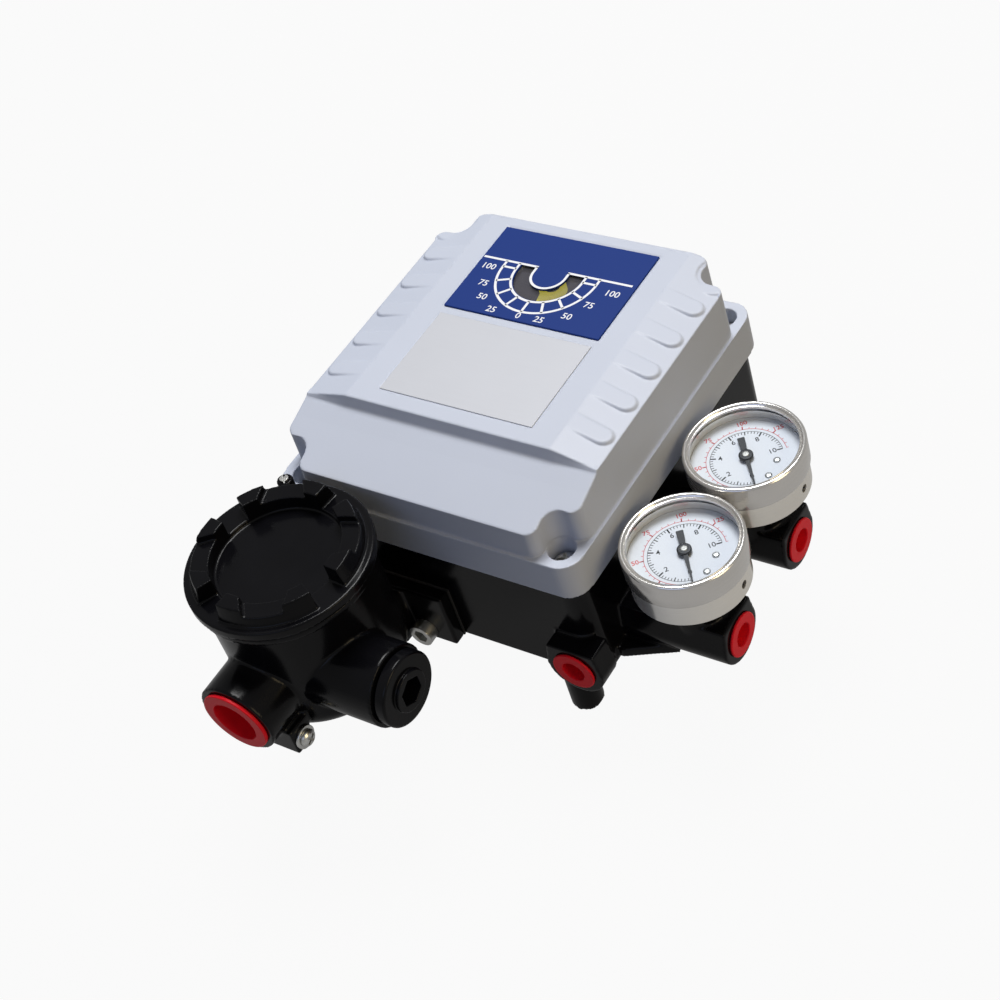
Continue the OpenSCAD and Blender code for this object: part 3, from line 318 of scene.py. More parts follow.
def casting_paint(name, colour):
    """Black powder coat with an orange-peel skin."""
    sh = Shader(name)
    peel = sh.noise(420.0, 2.0)
    fine = sh.noise(2600.0, 1.0)
    wear = sh.noise(60.0, 4.0)
    base = sh.between(wear, tinted(colour, 0.7), tinted(colour, 1.5))
    rough = sh.span(wear * 0.6 + fine * 0.4, 0.12, 0.24)
    return sh.finish(
        base_color=base, roughness=rough, normal=sh.bump(peel * 0.7 + fine * 0.3, 0.16, 0.00012),
        specular_ior_level=0.14
    )


def plain_metal(name, colour, rough=0.28):
    """Turned or pressed metal with a faint grain."""
    sh = Shader(name)
    grain = sh.noise(900.0, 3.0)
    cloud = sh.noise(90.0, 3.0)
    base = sh.between(cloud, tinted(colour, 0.86), tinted(colour, 1.08))
    return sh.finish(
        base_color=base, metallic=1.0, roughness=sh.span(grain * 0.6 + cloud * 0.4, rough * 0.7, rough * 1.4),
        normal=sh.bump(grain, 0.08, 0.00004)
    )


def turned_steel(name, colour, centre, metal):
    """Steel brushed around a gauge's axis."""
    sh = Shader(name)
    lines = sh.noise(1.0, 3.0, sh.stretched((18.0, 18.0, 3800.0), centre))
    stain = sh.noise(70.0, 4.0)
    base = sh.between(lines * 0.5 + stain * 0.5, tinted(colour, 0.82), tinted(colour, 1.1))
    return sh.finish(
        base_color=base, metallic=metal, roughness=sh.span(lines, 0.10, 0.26), normal=sh.bump(lines, 0.05, 0.00003)
    )


def brushed_plate(name, colour):
    """Silver plate brushed along its length."""
    sh = Shader(name)
    lines = sh.noise(1.0, 3.0, sh.stretched((60.0, 5200.0, 60.0)))
    cloud = sh.noise(45.0, 3.0)
    base = sh.between(lines * 0.6 + cloud * 0.4, tinted(colour, 0.93), tinted(colour, 1.04))
    return sh.finish(
        base_color=base, metallic=0.15, roughness=sh.span(lines, 0.42, 0.58), normal=sh.bump(lines, 0.05, 0.00002)
    )


def moulding(name, colour, rough, depth=0.0, shine=0.4, painted_glow=0.0):
    """Moulded plastic with a slight cloudiness, some depth and a painted glow that brightens it as if more light fell
    on it.
    """
    sh = Shader(name)
    cloud = sh.noise(160.0, 3.0)
    grain = sh.noise(1800.0, 1.0)
    base = sh.between(cloud, tinted(colour, 0.88), tinted(colour, 1.1))
    return sh.finish(
        base_color=base, roughness=sh.span(cloud * 0.5 + grain * 0.5, rough * 0.8, rough * 1.25),
        normal=sh.bump(grain, 0.10, 0.00005), subsurface_weight=depth, subsurface_radius=(0.002, 0.001, 0.001),
        specular_ior_level=shine, emission_color=base, emission_strength=painted_glow
    )


def printed(name, colour, rough, shine=0.5):
    """Ink or enamel with a fine tooth."""
    sh = Shader(name)
    tooth = sh.noise(2400.0, 2.0)
    base = sh.between(tooth, tinted(colour, 0.95), tinted(colour, 1.05))
    return sh.finish(
        base_color=base, roughness=sh.span(tooth, rough * 0.85, rough * 1.15), specular_ior_level=shine
    )


def clear_glass(name, tint, gloss, painted_veil=0.0):
    """A thin clear disc: see-through, with its reflections kept and a share of grey diffuse veil, a painted
    reflection.
    """
    sh = Shader(name)
    smear = sh.noise(55.0, 3.0)
    through = sh.node("ShaderNodeBsdfTransparent", {}, {"Color": rgba(tint)})
    shine = sh.node("ShaderNodeBsdfGlossy", {}, {"Roughness": sh.span(smear, 0.01, 0.05)})
    # Grey diffuse veil: a painted reflection over the glass
    veil_shader = sh.node("ShaderNodeBsdfDiffuse", {}, {"Color": rgba((0.50, 0.48, 0.56))})
    through_veil = sh.mixed(sh.span(smear, painted_veil * 0.8, painted_veil * 1.2), through, veil_shader)
    facing = Value(sh, sh.node("ShaderNodeFresnel", {}, {"IOR": 1.45}).outputs[0])
    inside = Value(sh, sh.node("ShaderNodeNewGeometry").outputs["Backfacing"])
    return sh.end(sh.mixed(facing * (1.0 - inside) * gloss, through_veil, shine))


def coil_winding(name, colour):
    """Varnished wire wound in close turns, with painted shade in the grooves between them."""
    sh = Shader(name)
    turns = sh.node(
        "ShaderNodeTexWave", {"bands_direction": "X"}, {"Vector": sh.place, "Scale": 700.0, "Distortion": 0.4}
    )
    wire = Value(sh, turns.outputs[1])
    # Darker where the wave is low, in the grooves between turns: painted shade
    base = sh.between(wire, tinted(colour, 0.45), tinted(colour, 1.2))
    return sh.finish(base_color=base, roughness=0.35, normal=sh.bump(wire, 0.5, 0.0002))


# Mesh helpers


def new_object(name, mesh, material, body, stands_for=()):
    """Links a finished mesh and lets it ride on a body."""
    item = bpy.data.objects.new(name, mesh)
    bpy.context.scene.collection.objects.link(item)
    mesh.materials.clear()
    mesh.materials.append(material)
    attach(item, body)
    if stands_for:
        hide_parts(*stands_for)
    return item


def baked(item):
    """The object's mesh with its modifiers applied; the object itself is removed."""
    graph = bpy.context.evaluated_depsgraph_get()
    mesh = bpy.data.meshes.new_from_object(item.evaluated_get(graph), depsgraph=graph)
    old = item.data
    bpy.data.objects.remove(item)
    if old.users == 0:
        bpy.data.batch_remove([old])
    return mesh


def scratch(mesh):
    """A temporary object around a mesh."""
    item = bpy.data.objects.new("scratch", mesh)
    bpy.context.scene.collection.objects.link(item)
    return item


def merged(node):
    """A welded copy of a CAD node's mesh."""
    mesh = NODES[node].data.copy()
    bm = bmesh.new()
    bm.from_mesh(mesh)
    bmesh.ops.remove_doubles(bm, verts=bm.verts, dist=2e-6)
    bm.to_mesh(mesh)
    bm.free()
    return mesh


def made_mesh(bm, name):
    """A mesh with its faces outward; the BMesh is freed."""
    bmesh.ops.recalc_face_normals(bm, faces=bm.faces)
    mesh = bpy.data.meshes.new(name)
    bm.to_mesh(mesh)
    bm.free()
    return mesh


def shaded(mesh, angle):
    """Smooth shading with edges above an angle kept crisp."""
    mesh.shade_smooth()
    mesh.set_sharp_from_angle(angle=math.radians(angle))
    return mesh


def level(item):
    """Keeps big flat faces flat under smooth shading."""
    modifier = item.modifiers.new("level", "WEIGHTED_NORMAL")
    modifier.weight = 100
    modifier.keep_sharp = True


def voxels(item, grain):
    """Turns a mesh into an even skin of small faces."""
    remesh = item.modifiers.new("grain", "REMESH")
    remesh.mode = "VOXEL"
    remesh.voxel_size = grain * MM
    remesh.use_smooth_shade = True


def cut_away(item, tool, crossing):
    """The mesh of an object less a tool, whose own parts may cross; both objects are removed."""
    cut = item.modifiers.new("cut", "BOOLEAN")
    cut.operation = "DIFFERENCE"
    cut.solver = "EXACT"
    cut.use_self = crossing
    cut.object = tool
    mesh = baked(item)
    bpy.data.objects.remove(tool)
    return mesh


def soften(item, rounds, kept):
    """Eases the edges of a fine mesh and thins its flat faces out."""
    smooth = item.modifiers.new("soften", "SMOOTH")
    smooth.factor = 0.5
    smooth.iterations = rounds
    fewer = item.modifiers.new("fewer", "DECIMATE")
    fewer.ratio = kept
    level(item)


def cast_copy(node, grain, softness):
    """A copy of a CAD node with the rounded edges of a casting."""
    item = scratch(merged(node))
    item.data.shade_smooth()
    voxels(item, grain)
    soften(item, softness, 0.3)
    return baked(item)


def eased_copy(node, width):
    """A copy of a CAD node with its sharp edges eased."""
    mesh = merged(node)
    bm = bmesh.new()
    bm.from_mesh(mesh)
    bmesh.ops.dissolve_limit(bm, angle_limit=math.radians(0.6), verts=bm.verts, edges=bm.edges)
    sharp = [e for e in bm.edges if len(e.link_faces) == 2 and e.calc_face_angle(0.0) > math.radians(32.0)]
    bmesh.ops.bevel(
        bm, geom=sharp, offset=width * MM, offset_type="OFFSET", segments=2, profile=0.5, affect="EDGES",
        clamp_overlap=True
    )
    bmesh.ops.recalc_face_normals(bm, faces=bm.faces)
    bm.to_mesh(mesh)
    bm.free()
    item = scratch(shaded(mesh, 38.0))
    level(item)
    return baked(item)


def lathe(profile, centre, steps):
    """A mesh turned around Z from (radius, height) points in millimetres; a closed profile stays closed."""
    bm = bmesh.new()
    rings = []
    for k in range(steps):
        turn = 2 * math.pi * k / steps
        rings.append([
            bm.verts.new(centre + Vector((r * math.cos(turn), r * math.sin(turn), z)) * MM) for r, z in profile
        ])
    size = len(profile)
    for k in range(steps):
        near, far = rings[k], rings[(k + 1) % steps]
        for i in range(size):
            j = (i + 1) % size
            bm.faces.new((near[i], far[i], far[j], near[j]))
    bmesh.ops.remove_doubles(bm, verts=bm.verts, dist=1e-7)
    return shaded(made_mesh(bm, "lathe"), 50.0)


def rounded(points, radius, steps):
    """A closed outline with its corners rounded."""
    made = []
    size = len(points)
    for i, point in enumerate(points):
        here = Vector(point)
        back, ahead = Vector(points[i - 1]) - here, Vector(points[(i + 1) % size]) - here
        cut = min(radius, back.length * 0.49, ahead.length * 0.49)
        first, last = here + back.normalized() * cut, here + ahead.normalized() * cut
        for k in range(steps + 1):
            t = k / steps
            made.append(tuple(first * (1 - t) ** 2 + here * 2 * t * (1 - t) + last * t * t))
    return made


def joined(meshes):
    """One mesh from several."""
    bm = bmesh.new()
    for mesh in meshes:
        bm.from_mesh(mesh)
        bpy.data.meshes.remove(mesh)
    made = bpy.data.meshes.new("joined")
    bm.to_mesh(made)
    bm.free()
    return made


def arc_band(centre, inner, outer, start, sweep, low, high, steps=96):
    """A flat raised band along an arc, in millimetres and degrees."""
    bm = bmesh.new()
    columns = []
    for k in range(steps + 1):
        turn = math.radians(start + sweep * k / steps)
        way = Vector((math.cos(turn), math.sin(turn), 0))
        columns.append([
            bm.verts.new(centre + (way * r + Vector((0, 0, z))) * MM)
            for r, z in ((inner, low), (outer, low), (outer, high), (inner, high))
        ])
    for near, far in zip(columns, columns[1:]):
        for i in range(4):
            bm.faces.new((near[i], far[i], far[(i + 1) % 4], near[(i + 1) % 4]))
    bm.faces.new(columns[0][::-1])
    bm.faces.new(columns[-1])
    return made_mesh(bm, "arc")


def slab(low, high):
    """A box between two corners, in millimetres."""
    bm = bmesh.new()
    bmesh.ops.create_cube(bm, size=1.0)
    size = Vector(high) - Vector(low)
    mid = (Vector(high) + Vector(low)) / 2
    for v in bm.verts:
        v.co = Vector((v.co.x * size.x, v.co.y * size.y, v.co.z * size.z)) * MM + mid * MM
    return made_mesh(bm, "slab")


def figures(text, place, height, turn, rise):
    """A number as a thin raised mesh, centred on a place in millimetres."""
    curve = bpy.data.curves.new("figures", "FONT")
    curve.body = text
    curve.size = height * 1.38
    curve.align_x = "CENTER"
    curve.align_y = "CENTER"
    curve.extrude = rise / 2
    curve.offset = height * 0.012
    curve.resolution_u = 3
    mesh = baked(scratch(curve))
    spin = Matrix.Rotation(math.radians(turn), 4, "Z")
    mesh.transform(Matrix.Translation(Vector(place) * MM) @ spin @ Matrix.Scale(MM, 4))
    return mesh


# Geometry Nodes: marks set out along an arc


def marks_tree():
    """A node group that stands small bars along an arc, each pointing outwards."""
    tree = bpy.data.node_groups.new("marks along an arc", "GeometryNodeTree")
    tree.interface.new_socket("Geometry", in_out="OUTPUT", socket_type="NodeSocketGeometry")
    for name, kind in (
        ("Count", "Int"), ("Radius", "Float"), ("Start", "Float"), ("Step", "Float"), ("Length", "Float"),
        ("Width", "Float"), ("Height", "Float"), ("Centre", "Vector"), ("Material", "Material")
    ):
        tree.interface.new_socket(name, in_out="INPUT", socket_type="NodeSocket" + kind)
    add, link = tree.nodes.new, tree.links.new
    given, made = add("NodeGroupInput"), add("NodeGroupOutput")

    def maths(operation, first, second):
        node = add("ShaderNodeMath")
        node.operation = operation
        for socket, value in zip(node.inputs, (first, second)):
            if isinstance(value, bpy.types.NodeSocket):
                link(value, socket)
            elif value is not None:
                socket.default_value = value
        return node.outputs[0]

    index = add("GeometryNodeInputIndex").outputs[0]
    turn = maths("ADD", given.outputs["Start"], maths("MULTIPLY", index, given.outputs["Step"]))
    spot, lean, size = (add("ShaderNodeCombineXYZ") for _ in range(3))
    link(maths("MULTIPLY", maths("COSINE", turn, None), given.outputs["Radius"]), spot.inputs[0])
    link(maths("MULTIPLY", maths("SINE", turn, None), given.outputs["Radius"]), spot.inputs[1])
    link(turn, lean.inputs[2])
    for socket, name in zip(size.inputs, ("Length", "Width", "Height")):
        link(given.outputs[name], socket)
    points, bar = add("GeometryNodePoints"), add("GeometryNodeMeshCube")
    stand = add("GeometryNodeInstanceOnPoints")
    link(given.outputs["Count"], points.inputs["Count"])
    link(spot.outputs[0], points.inputs["Position"])
    link(size.outputs[0], bar.inputs["Size"])
    link(points.outputs[0], stand.inputs["Points"])
    link(bar.outputs["Mesh"], stand.inputs["Instance"])
    link(lean.outputs[0], stand.inputs["Rotation"])
    real, move = add("GeometryNodeRealizeInstances"), add("GeometryNodeTransform")
    coat = add("GeometryNodeSetMaterial")
    link(stand.outputs[0], real.inputs[0])
    link(real.outputs[0], move.inputs[0])
    link(given.outputs["Centre"], move.inputs["Translation"])
    link(move.outputs[0], coat.inputs[0])
    link(given.outputs["Material"], coat.inputs["Material"])
    link(coat.outputs[0], made.inputs[0])
    return tree


def marks(material, **sizes):
    """A mesh of marks along an arc; lengths in metres, angles in radians."""
    tree = bpy.data.node_groups.get("marks along an arc") or marks_tree()
    item = scratch(bpy.data.meshes.new("marks"))
    modifier = item.modifiers.new("marks", "NODES")
    modifier.node_group = tree
    for socket in tree.interface.items_tree:
        if socket.in_out == "INPUT":
            key = socket.name.lower()
            modifier[socket.identifier] = material if key == "material" else sizes[key]
    return baked(item)


def arc_marks(material, centre, number, radius, start, sweep, long, wide, high):
    """Marks along an arc, in millimetres and degrees."""
    return marks(
        material, count=number, radius=radius * MM, start=math.radians(start),
        step=math.radians(sweep / max(1, number - 1)), length=long * MM, width=wide * MM, height=high * MM,
        centre=tuple(centre)
    )


# Cover: sizes in millimetres, as its solid has them

COVER_HALF = (59.7, 63.2)
COVER_FOOT = 70.0
COVER_TOP = 107.0
SKIRT_HALF = (62.0, 65.5)
SKIRT_ROUND = 8.0
LEDGE = 84.8
DRAFT = 1.2
APRON_DROP = 11.7
STEP = (-36.3, -37.8, 4.4)
SIDE_DROP = 1.7
FINGERS = 5
FINGER_START = (53.7, -23.73)
FINGER_PITCH = 15.83
FINGER_SLANT = 8.0
DROP_START = 45.7
CORNERS = ((-1, -1), (-1, 1), (1, -1), (1, 1))
SCREW_HEAD = 4.2

# Where the moves that finger_top makes start and end, in millimetres
BAND_START = 38.0
SKIN = 2.4
BROW = 1.8
WALL_START = 95.0
SWELL_X = (40.0, 59.2, 61.9)
SWELL_Y = (45.0, 62.5, 65.4)
FADE_START = 10.0
FADE = 7.0


def notch_outline(radius, ease, sides, steps=8):
    """Plan of a notch with its two shoulders, around its screw."""
    def shoulder(side):
        along = -math.sqrt((radius + ease) ** 2 - (side - ease) ** 2)
        full = math.atan2(-along, ease - side)
        turns = [full * k / steps for k in range(steps + 1)]
        return [(side - ease + ease * math.cos(t), along + ease * math.sin(t)) for t in turns]

    first = shoulder(sides[0])
    last = [(across, along) for along, across in reversed(shoulder(sides[1]))]
    start, end = (math.atan2(y, x) % (2 * math.pi) for x, y in (first[-1], last[0]))
    turns = [start + (end - start) * k / (2 * steps) for k in range(1, 2 * steps)]
    return first + [(radius * math.cos(t), radius * math.sin(t)) for t in turns] + last


def loft(low, high):
    """A closed mesh between two loops of points in millimetres."""
    bm = bmesh.new()
    lower, upper = ([bm.verts.new(Vector(v) * MM) for v in loop] for loop in (low, high))
    size = len(low)
    for i in range(size):
        j = (i + 1) % size
        bm.faces.new((lower[i], lower[j], upper[j], upper[i]))
    bm.faces.new(lower[::-1])
    bm.faces.new(upper)
    return made_mesh(bm, "loft")


def body_height(y):
    """Height of the cover's top along its middle."""
    apron = COVER_TOP - APRON_DROP
    front = -COVER_HALF[1] + DRAFT
    if y > STEP[0]:
        return COVER_TOP
    return apron + (y - front) * (COVER_TOP - STEP[2] - apron) / (STEP[1] - front)


def cover_screw():
    """Plan place of the screw at the right rear; the others mirror it."""
    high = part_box("cover_screws")[1]
    return high.x / MM - SCREW_HEAD, high.y / MM - SCREW_HEAD


def notch_pieces(s):
    """Cuts and fills that give the four notches their shoulders."""
    screw = cover_screw()
    cuts, fills = [], []
    for sx, sy in CORNERS:
        ends = (COVER_TOP - SIDE_DROP, COVER_TOP - (APRON_DROP if sy < 0 else 0.0))

        def plan(z):
            lean = [DRAFT * (z - COVER_FOOT) / (end - COVER_FOOT) for end in ends]
            return notch_outline(s.notch, s.shoulder, [COVER_HALF[i] - screw[i] - lean[i] for i in (0, 1)])

        def placed(points, height):
            spots = [(sx * (screw[0] + a), sy * (screw[1] + b)) for a, b in points]
            return [(x, y, height(y)) for x, y in spots]

        foot, crown = plan(LEDGE), plan(COVER_TOP)
        room = 9.0
        outer = [(foot[-1][0], room), (room, room), (room, foot[0][1])]
        cuts.append(loft(
            placed(foot + outer, lambda y: LEDGE + 0.01), placed(crown + outer, lambda y: COVER_TOP + 1.0)
        ))
        rim = plan(LEDGE + 12.0)
        inner = (rim[-1][0] - 0.4, rim[0][1] - 0.4)
        back = [(inner[0], rim[-1][1] - 0.6), inner, (rim[0][0] - 0.6, inner[1])]
        fills.append(loft(
            placed(foot + back, lambda y: LEDGE - 1.0),
            placed(rim + back, lambda y: body_height(y) - (0.9 if sy > 0 else 0.02))
        ))
    return cuts, fills


def swell(x, places):
    """Share of the outward swell: none at the start, full at the wall and none at the rim."""
    return np.interp(x, places, (0.0, 1.0, 0.0))


def finger_share(x, y, half_width):
    """1 on the finger ribs and 0 off them, with an eased edge."""
    slant = math.radians(FINGER_SLANT)
    away = np.full(len(x), 99.0, dtype=np.float32)
    for k in range(FINGERS):
        dx, dy = x - FINGER_START[0], y - FINGER_START[1] - k * FINGER_PITCH
        along = np.maximum(-dx * math.cos(slant) + dy * math.sin(slant), 0.0)
        gap = np.hypot(dx + along * math.cos(slant), dy - along * math.sin(slant))
        away = np.minimum(away, gap)
    share = np.clip((half_width + 0.4 - away) / 0.8, 0.0, 1.0)
    return share * share * (3.0 - 2.0 * share)


def finger_top(mesh, s):
    """Fills the cover's walls out and gives its top falling side bands with fingers."""
    size = len(mesh.vertices)
    points = np.empty(size * 3, dtype=np.float32)
    mesh.vertices.foreach_get("co", points)
    points = points.reshape(size, 3) / MM
    x, y, z = np.abs(points[:, 0]), points[:, 1].copy(), points[:, 2].copy()
    edge = COVER_HALF[0] - DRAFT
    drop = s.fall * np.clip((x - edge + s.reach) / s.reach, 0.0, 1.0)
    solid_drop = SIDE_DROP * np.clip((x - DROP_START) / (edge - DROP_START), 0.0, 1.0)
    top = COVER_TOP - drop * (1.0 - finger_share(x, y, s.finger) * s.rise / s.fall)
    screw = cover_screw()
    from_screw = np.hypot(x - screw[0], np.abs(y) - screw[1])
    behind = (x > BAND_START) & (y > STEP[0] + 0.3)
    flat = behind & (x < edge - 0.2) & (y < COVER_HALF[1] - DRAFT - 0.3) & (z > COVER_TOP - SKIN)
    chosen = flat & (from_screw > s.notch + s.shoulder + 0.5)
    brow = (x > BAND_START) & (np.abs(y - STEP[0]) < BROW) & ~chosen
    start = np.where(brow, COVER_TOP - STEP[2], WALL_START)
    share = np.clip((z - start) / np.where(brow, 3.0, 8.0), 0.0, 1.0)
    points[:, 2] = np.where(chosen, top, np.where(behind | brow, z - (drop - solid_drop) * share, z))
    beyond = np.minimum(x - SKIRT_HALF[0], np.abs(y) - SKIRT_HALF[1]) + SKIRT_ROUND
    corner = np.clip((beyond + FADE_START) / FADE, 0.0, 1.0)
    above = np.clip((z - LEDGE - 0.2) / 1.0, 0.0, 1.0)
    share = s.fullness * (1.0 - corner * (1.0 - above)) * (z > LEDGE - 0.2)
    points[:, 0] += np.sign(points[:, 0]) * share * swell(x, SWELL_X)
    points[:, 1] += np.sign(y) * share * swell(np.abs(y), SWELL_Y)
    mesh.vertices.foreach_set("co", (points * MM).ravel())
    mesh.update()


def cover_mesh(s):
    """The cover with shouldered notches, finger ribs and eased edges."""
    cuts, fills = notch_pieces(s)
    shell = cut_away(scratch(merged("main_cover")), scratch(joined(cuts)), False)
    solid = scratch(joined([shell, *fills]))
    voxels(solid, s.grain)
    fine = baked(solid)
    finger_top(fine, s)
    item = scratch(fine)
    soften(item, s.softness, 0.2)
    return baked(item)


# Operators and the shapes they need


class POSITIONER_OT_cover(bpy.types.Operator):
    """Builds the painted cover"""

    bl_idname = "positioner.cover"
    bl_label = "Cover"

    def execute(self, context):
        s = context.scene.positioner_cover
        paint = finish_of("cover_paint", cover_paint, s.paint)
        new_object("cover_shell", cover_mesh(s), paint, HOUSING, ("main_cover",))
        return {"FINISHED"}


class POSITIONER_OT_castings(bpy.types.Operator):
    """Builds the black castings with softened edges"""

    bl_idname = "positioner.castings"
    bl_label = "Castings"

    def execute(self, context):
        s = context.scene.positioner_casting
        paint = finish_of("casting_paint", casting_paint, s.paint)
        for node, grain, body in (
            ("base_casting", s.base_grain, HOUSING), ("terminal_box", s.box_grain, HOUSING),
            ("terminal_cap", s.cap_grain, "cap")
        ):
            mesh = cast_copy(node, grain, s.softness)
            new_object(node + "_skin", mesh, paint, body, (node,))
        plug = eased_copy("blanking_plug", 0.8)
        new_object("blanking_plug_skin", plug, paint, HOUSING, ("blanking_plug",))
        return {"FINISHED"}


class POSITIONER_OT_plugs(bpy.types.Operator):
    """Builds the red shipping plugs"""

    bl_idname = "positioner.plugs"
    bl_label = "Shipping plugs"

    def execute(self, context):
        red = finish_of("red_plastic", moulding, (0.95, 0.012, 0.026), 0.36, 0.02, 0.12)
        for node in ("supply_plug", "output_plugs", "conduit_plug"):
            new_object(node + "_skin", eased_copy(node, 0.35), red, HOUSING, (node,))
        return {"FINISHED"}


# Figures of the blue plate and their places from the shaft's axis, in millimetres
DIAL_FIGURES = (
    ("100", -25.0, -1.5), ("75", -22.0, -10.0), ("50", -18.5, -16.5), ("25", -11.5, -21.5), ("0", 0.0, -21.7),
    ("25", 8.5, -21.5), ("50", 17.5, -17.2), ("75", 22.3, -10.0), ("100", 27.5, -2.5)
)


class POSITIONER_OT_labels(bpy.types.Operator):
    """Builds the blue dial plate with its marks and the bare silver plate"""

    bl_idname = "positioner.labels"
    bl_label = "Plates"

    def execute(self, context):
        s = context.scene.positioner_dial
        blue = finish_of("dial_print", printed, s.blue, 0.5, 0.15)
        white = finish_of("dial_white", printed, s.white, 0.42)
        low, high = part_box("dial_plate")
        new_object("dial_plate_skin", eased_copy("dial_plate", 0.25), blue, HOUSING, ("dial_plate",))
        top = high.z / MM
        axis = joint_axis("shaft_turn") / MM
        centre = Vector((axis.x, axis.y, top)) * MM
        line = s.line
        rise = 0.04
        straight = 3.0
        tongue = 6.7
        pieces = []
        for radius in (s.inner_arc, s.outer_arc, tongue):
            pieces.append(arc_band(centre, radius - line / 2, radius + line / 2, 180, 180, 0.0, rise))
            for side in (-1, 1):
                x = axis.x + side * radius
                pieces.append(slab((x - line / 2, axis.y, top), (x + line / 2, axis.y + straight, top + rise)))
        rule = axis.y + straight
        gap = tongue - line / 2
        for start, end in ((low.x / MM + 0.6, axis.x - gap), (axis.x + gap, high.x / MM - 1.6)):
            pieces.append(slab((start, rule - line / 2, top), (end, rule + line / 2, top + rise)))
        middle_ring = (s.inner_arc + s.outer_arc) / 2
        ring = s.outer_arc - s.inner_arc
        pieces.append(arc_marks(white, centre, 9, middle_ring, 180, 180, ring, line, 2 * rise))
        for text, x, y in DIAL_FIGURES:
            pieces.append(figures(text, (axis.x + x, axis.y + y, top + rise / 2), s.figure, 0.0, rise))
        new_object("dial_marks", joined(pieces), white, HOUSING)
        silver = finish_of("label_metal", brushed_plate, (0.53, 0.545, 0.59))
        plate = eased_copy("name_plate", 0.2)
        new_object("name_plate_skin", plate, silver, HOUSING, ("name_plate",))
        return {"FINISHED"}


def bezel_mesh(centre):
    """Rolled steel bezel around a gauge's glass."""
    low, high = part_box("front_gauge_bezel")
    case_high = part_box("front_gauge_case")[1].z
    lens_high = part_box("front_gauge_lens")[1].z
    outer = (high.x - low.x) / 2 / MM
    foot, top, glass, seat = ((z - centre.z) / MM for z in (low.z, high.z, lens_high, case_high))
    lip = outer - 2.6
    profile = [
        (outer - 0.65, foot), (outer - 0.1, foot), (outer, foot + 0.5), (outer, top - 1.0), (outer - 0.35, top - 0.25),
        (outer - 1.0, top), (outer - 1.5, top - 0.2), (outer - 1.75, top - 0.7), (outer - 1.95, top - 0.85),
        (outer - 2.2, top - 0.6), (outer - 2.5, top - 0.7), (lip, glass + 0.35), (lip + 0.1, glass),
        (outer - 0.75, glass), (outer - 0.75, seat)
    ]
    return lathe(profile, centre, 128)


def pointer_mesh(centre, turn):
    """Black gauge hand with a wide tail."""
    outline = rounded([
        (14.0, -0.22), (14.0, 0.22), (2.2, 0.75), (-3.2, 0.9), (-4.6, 1.15), (-8.6, 1.3), (-8.6, -1.3), (-4.6, -1.15),
        (-3.2, -0.9), (2.2, -0.75)
    ], 0.4, 3)
    bm = bmesh.new()
    base = bm.faces.new([bm.verts.new(Vector((x, y, 0)) * MM) for x, y in outline])
    lifted = bmesh.ops.extrude_face_region(bm, geom=[base])
    for v in lifted["geom"]:
        if isinstance(v, bmesh.types.BMVert):
            v.co.z += 0.5 * MM
    hand = made_mesh(bm, "hand")
    hand.transform(Matrix.Translation(centre) @ Matrix.Rotation(math.radians(turn), 4, "Z"))
    return hand


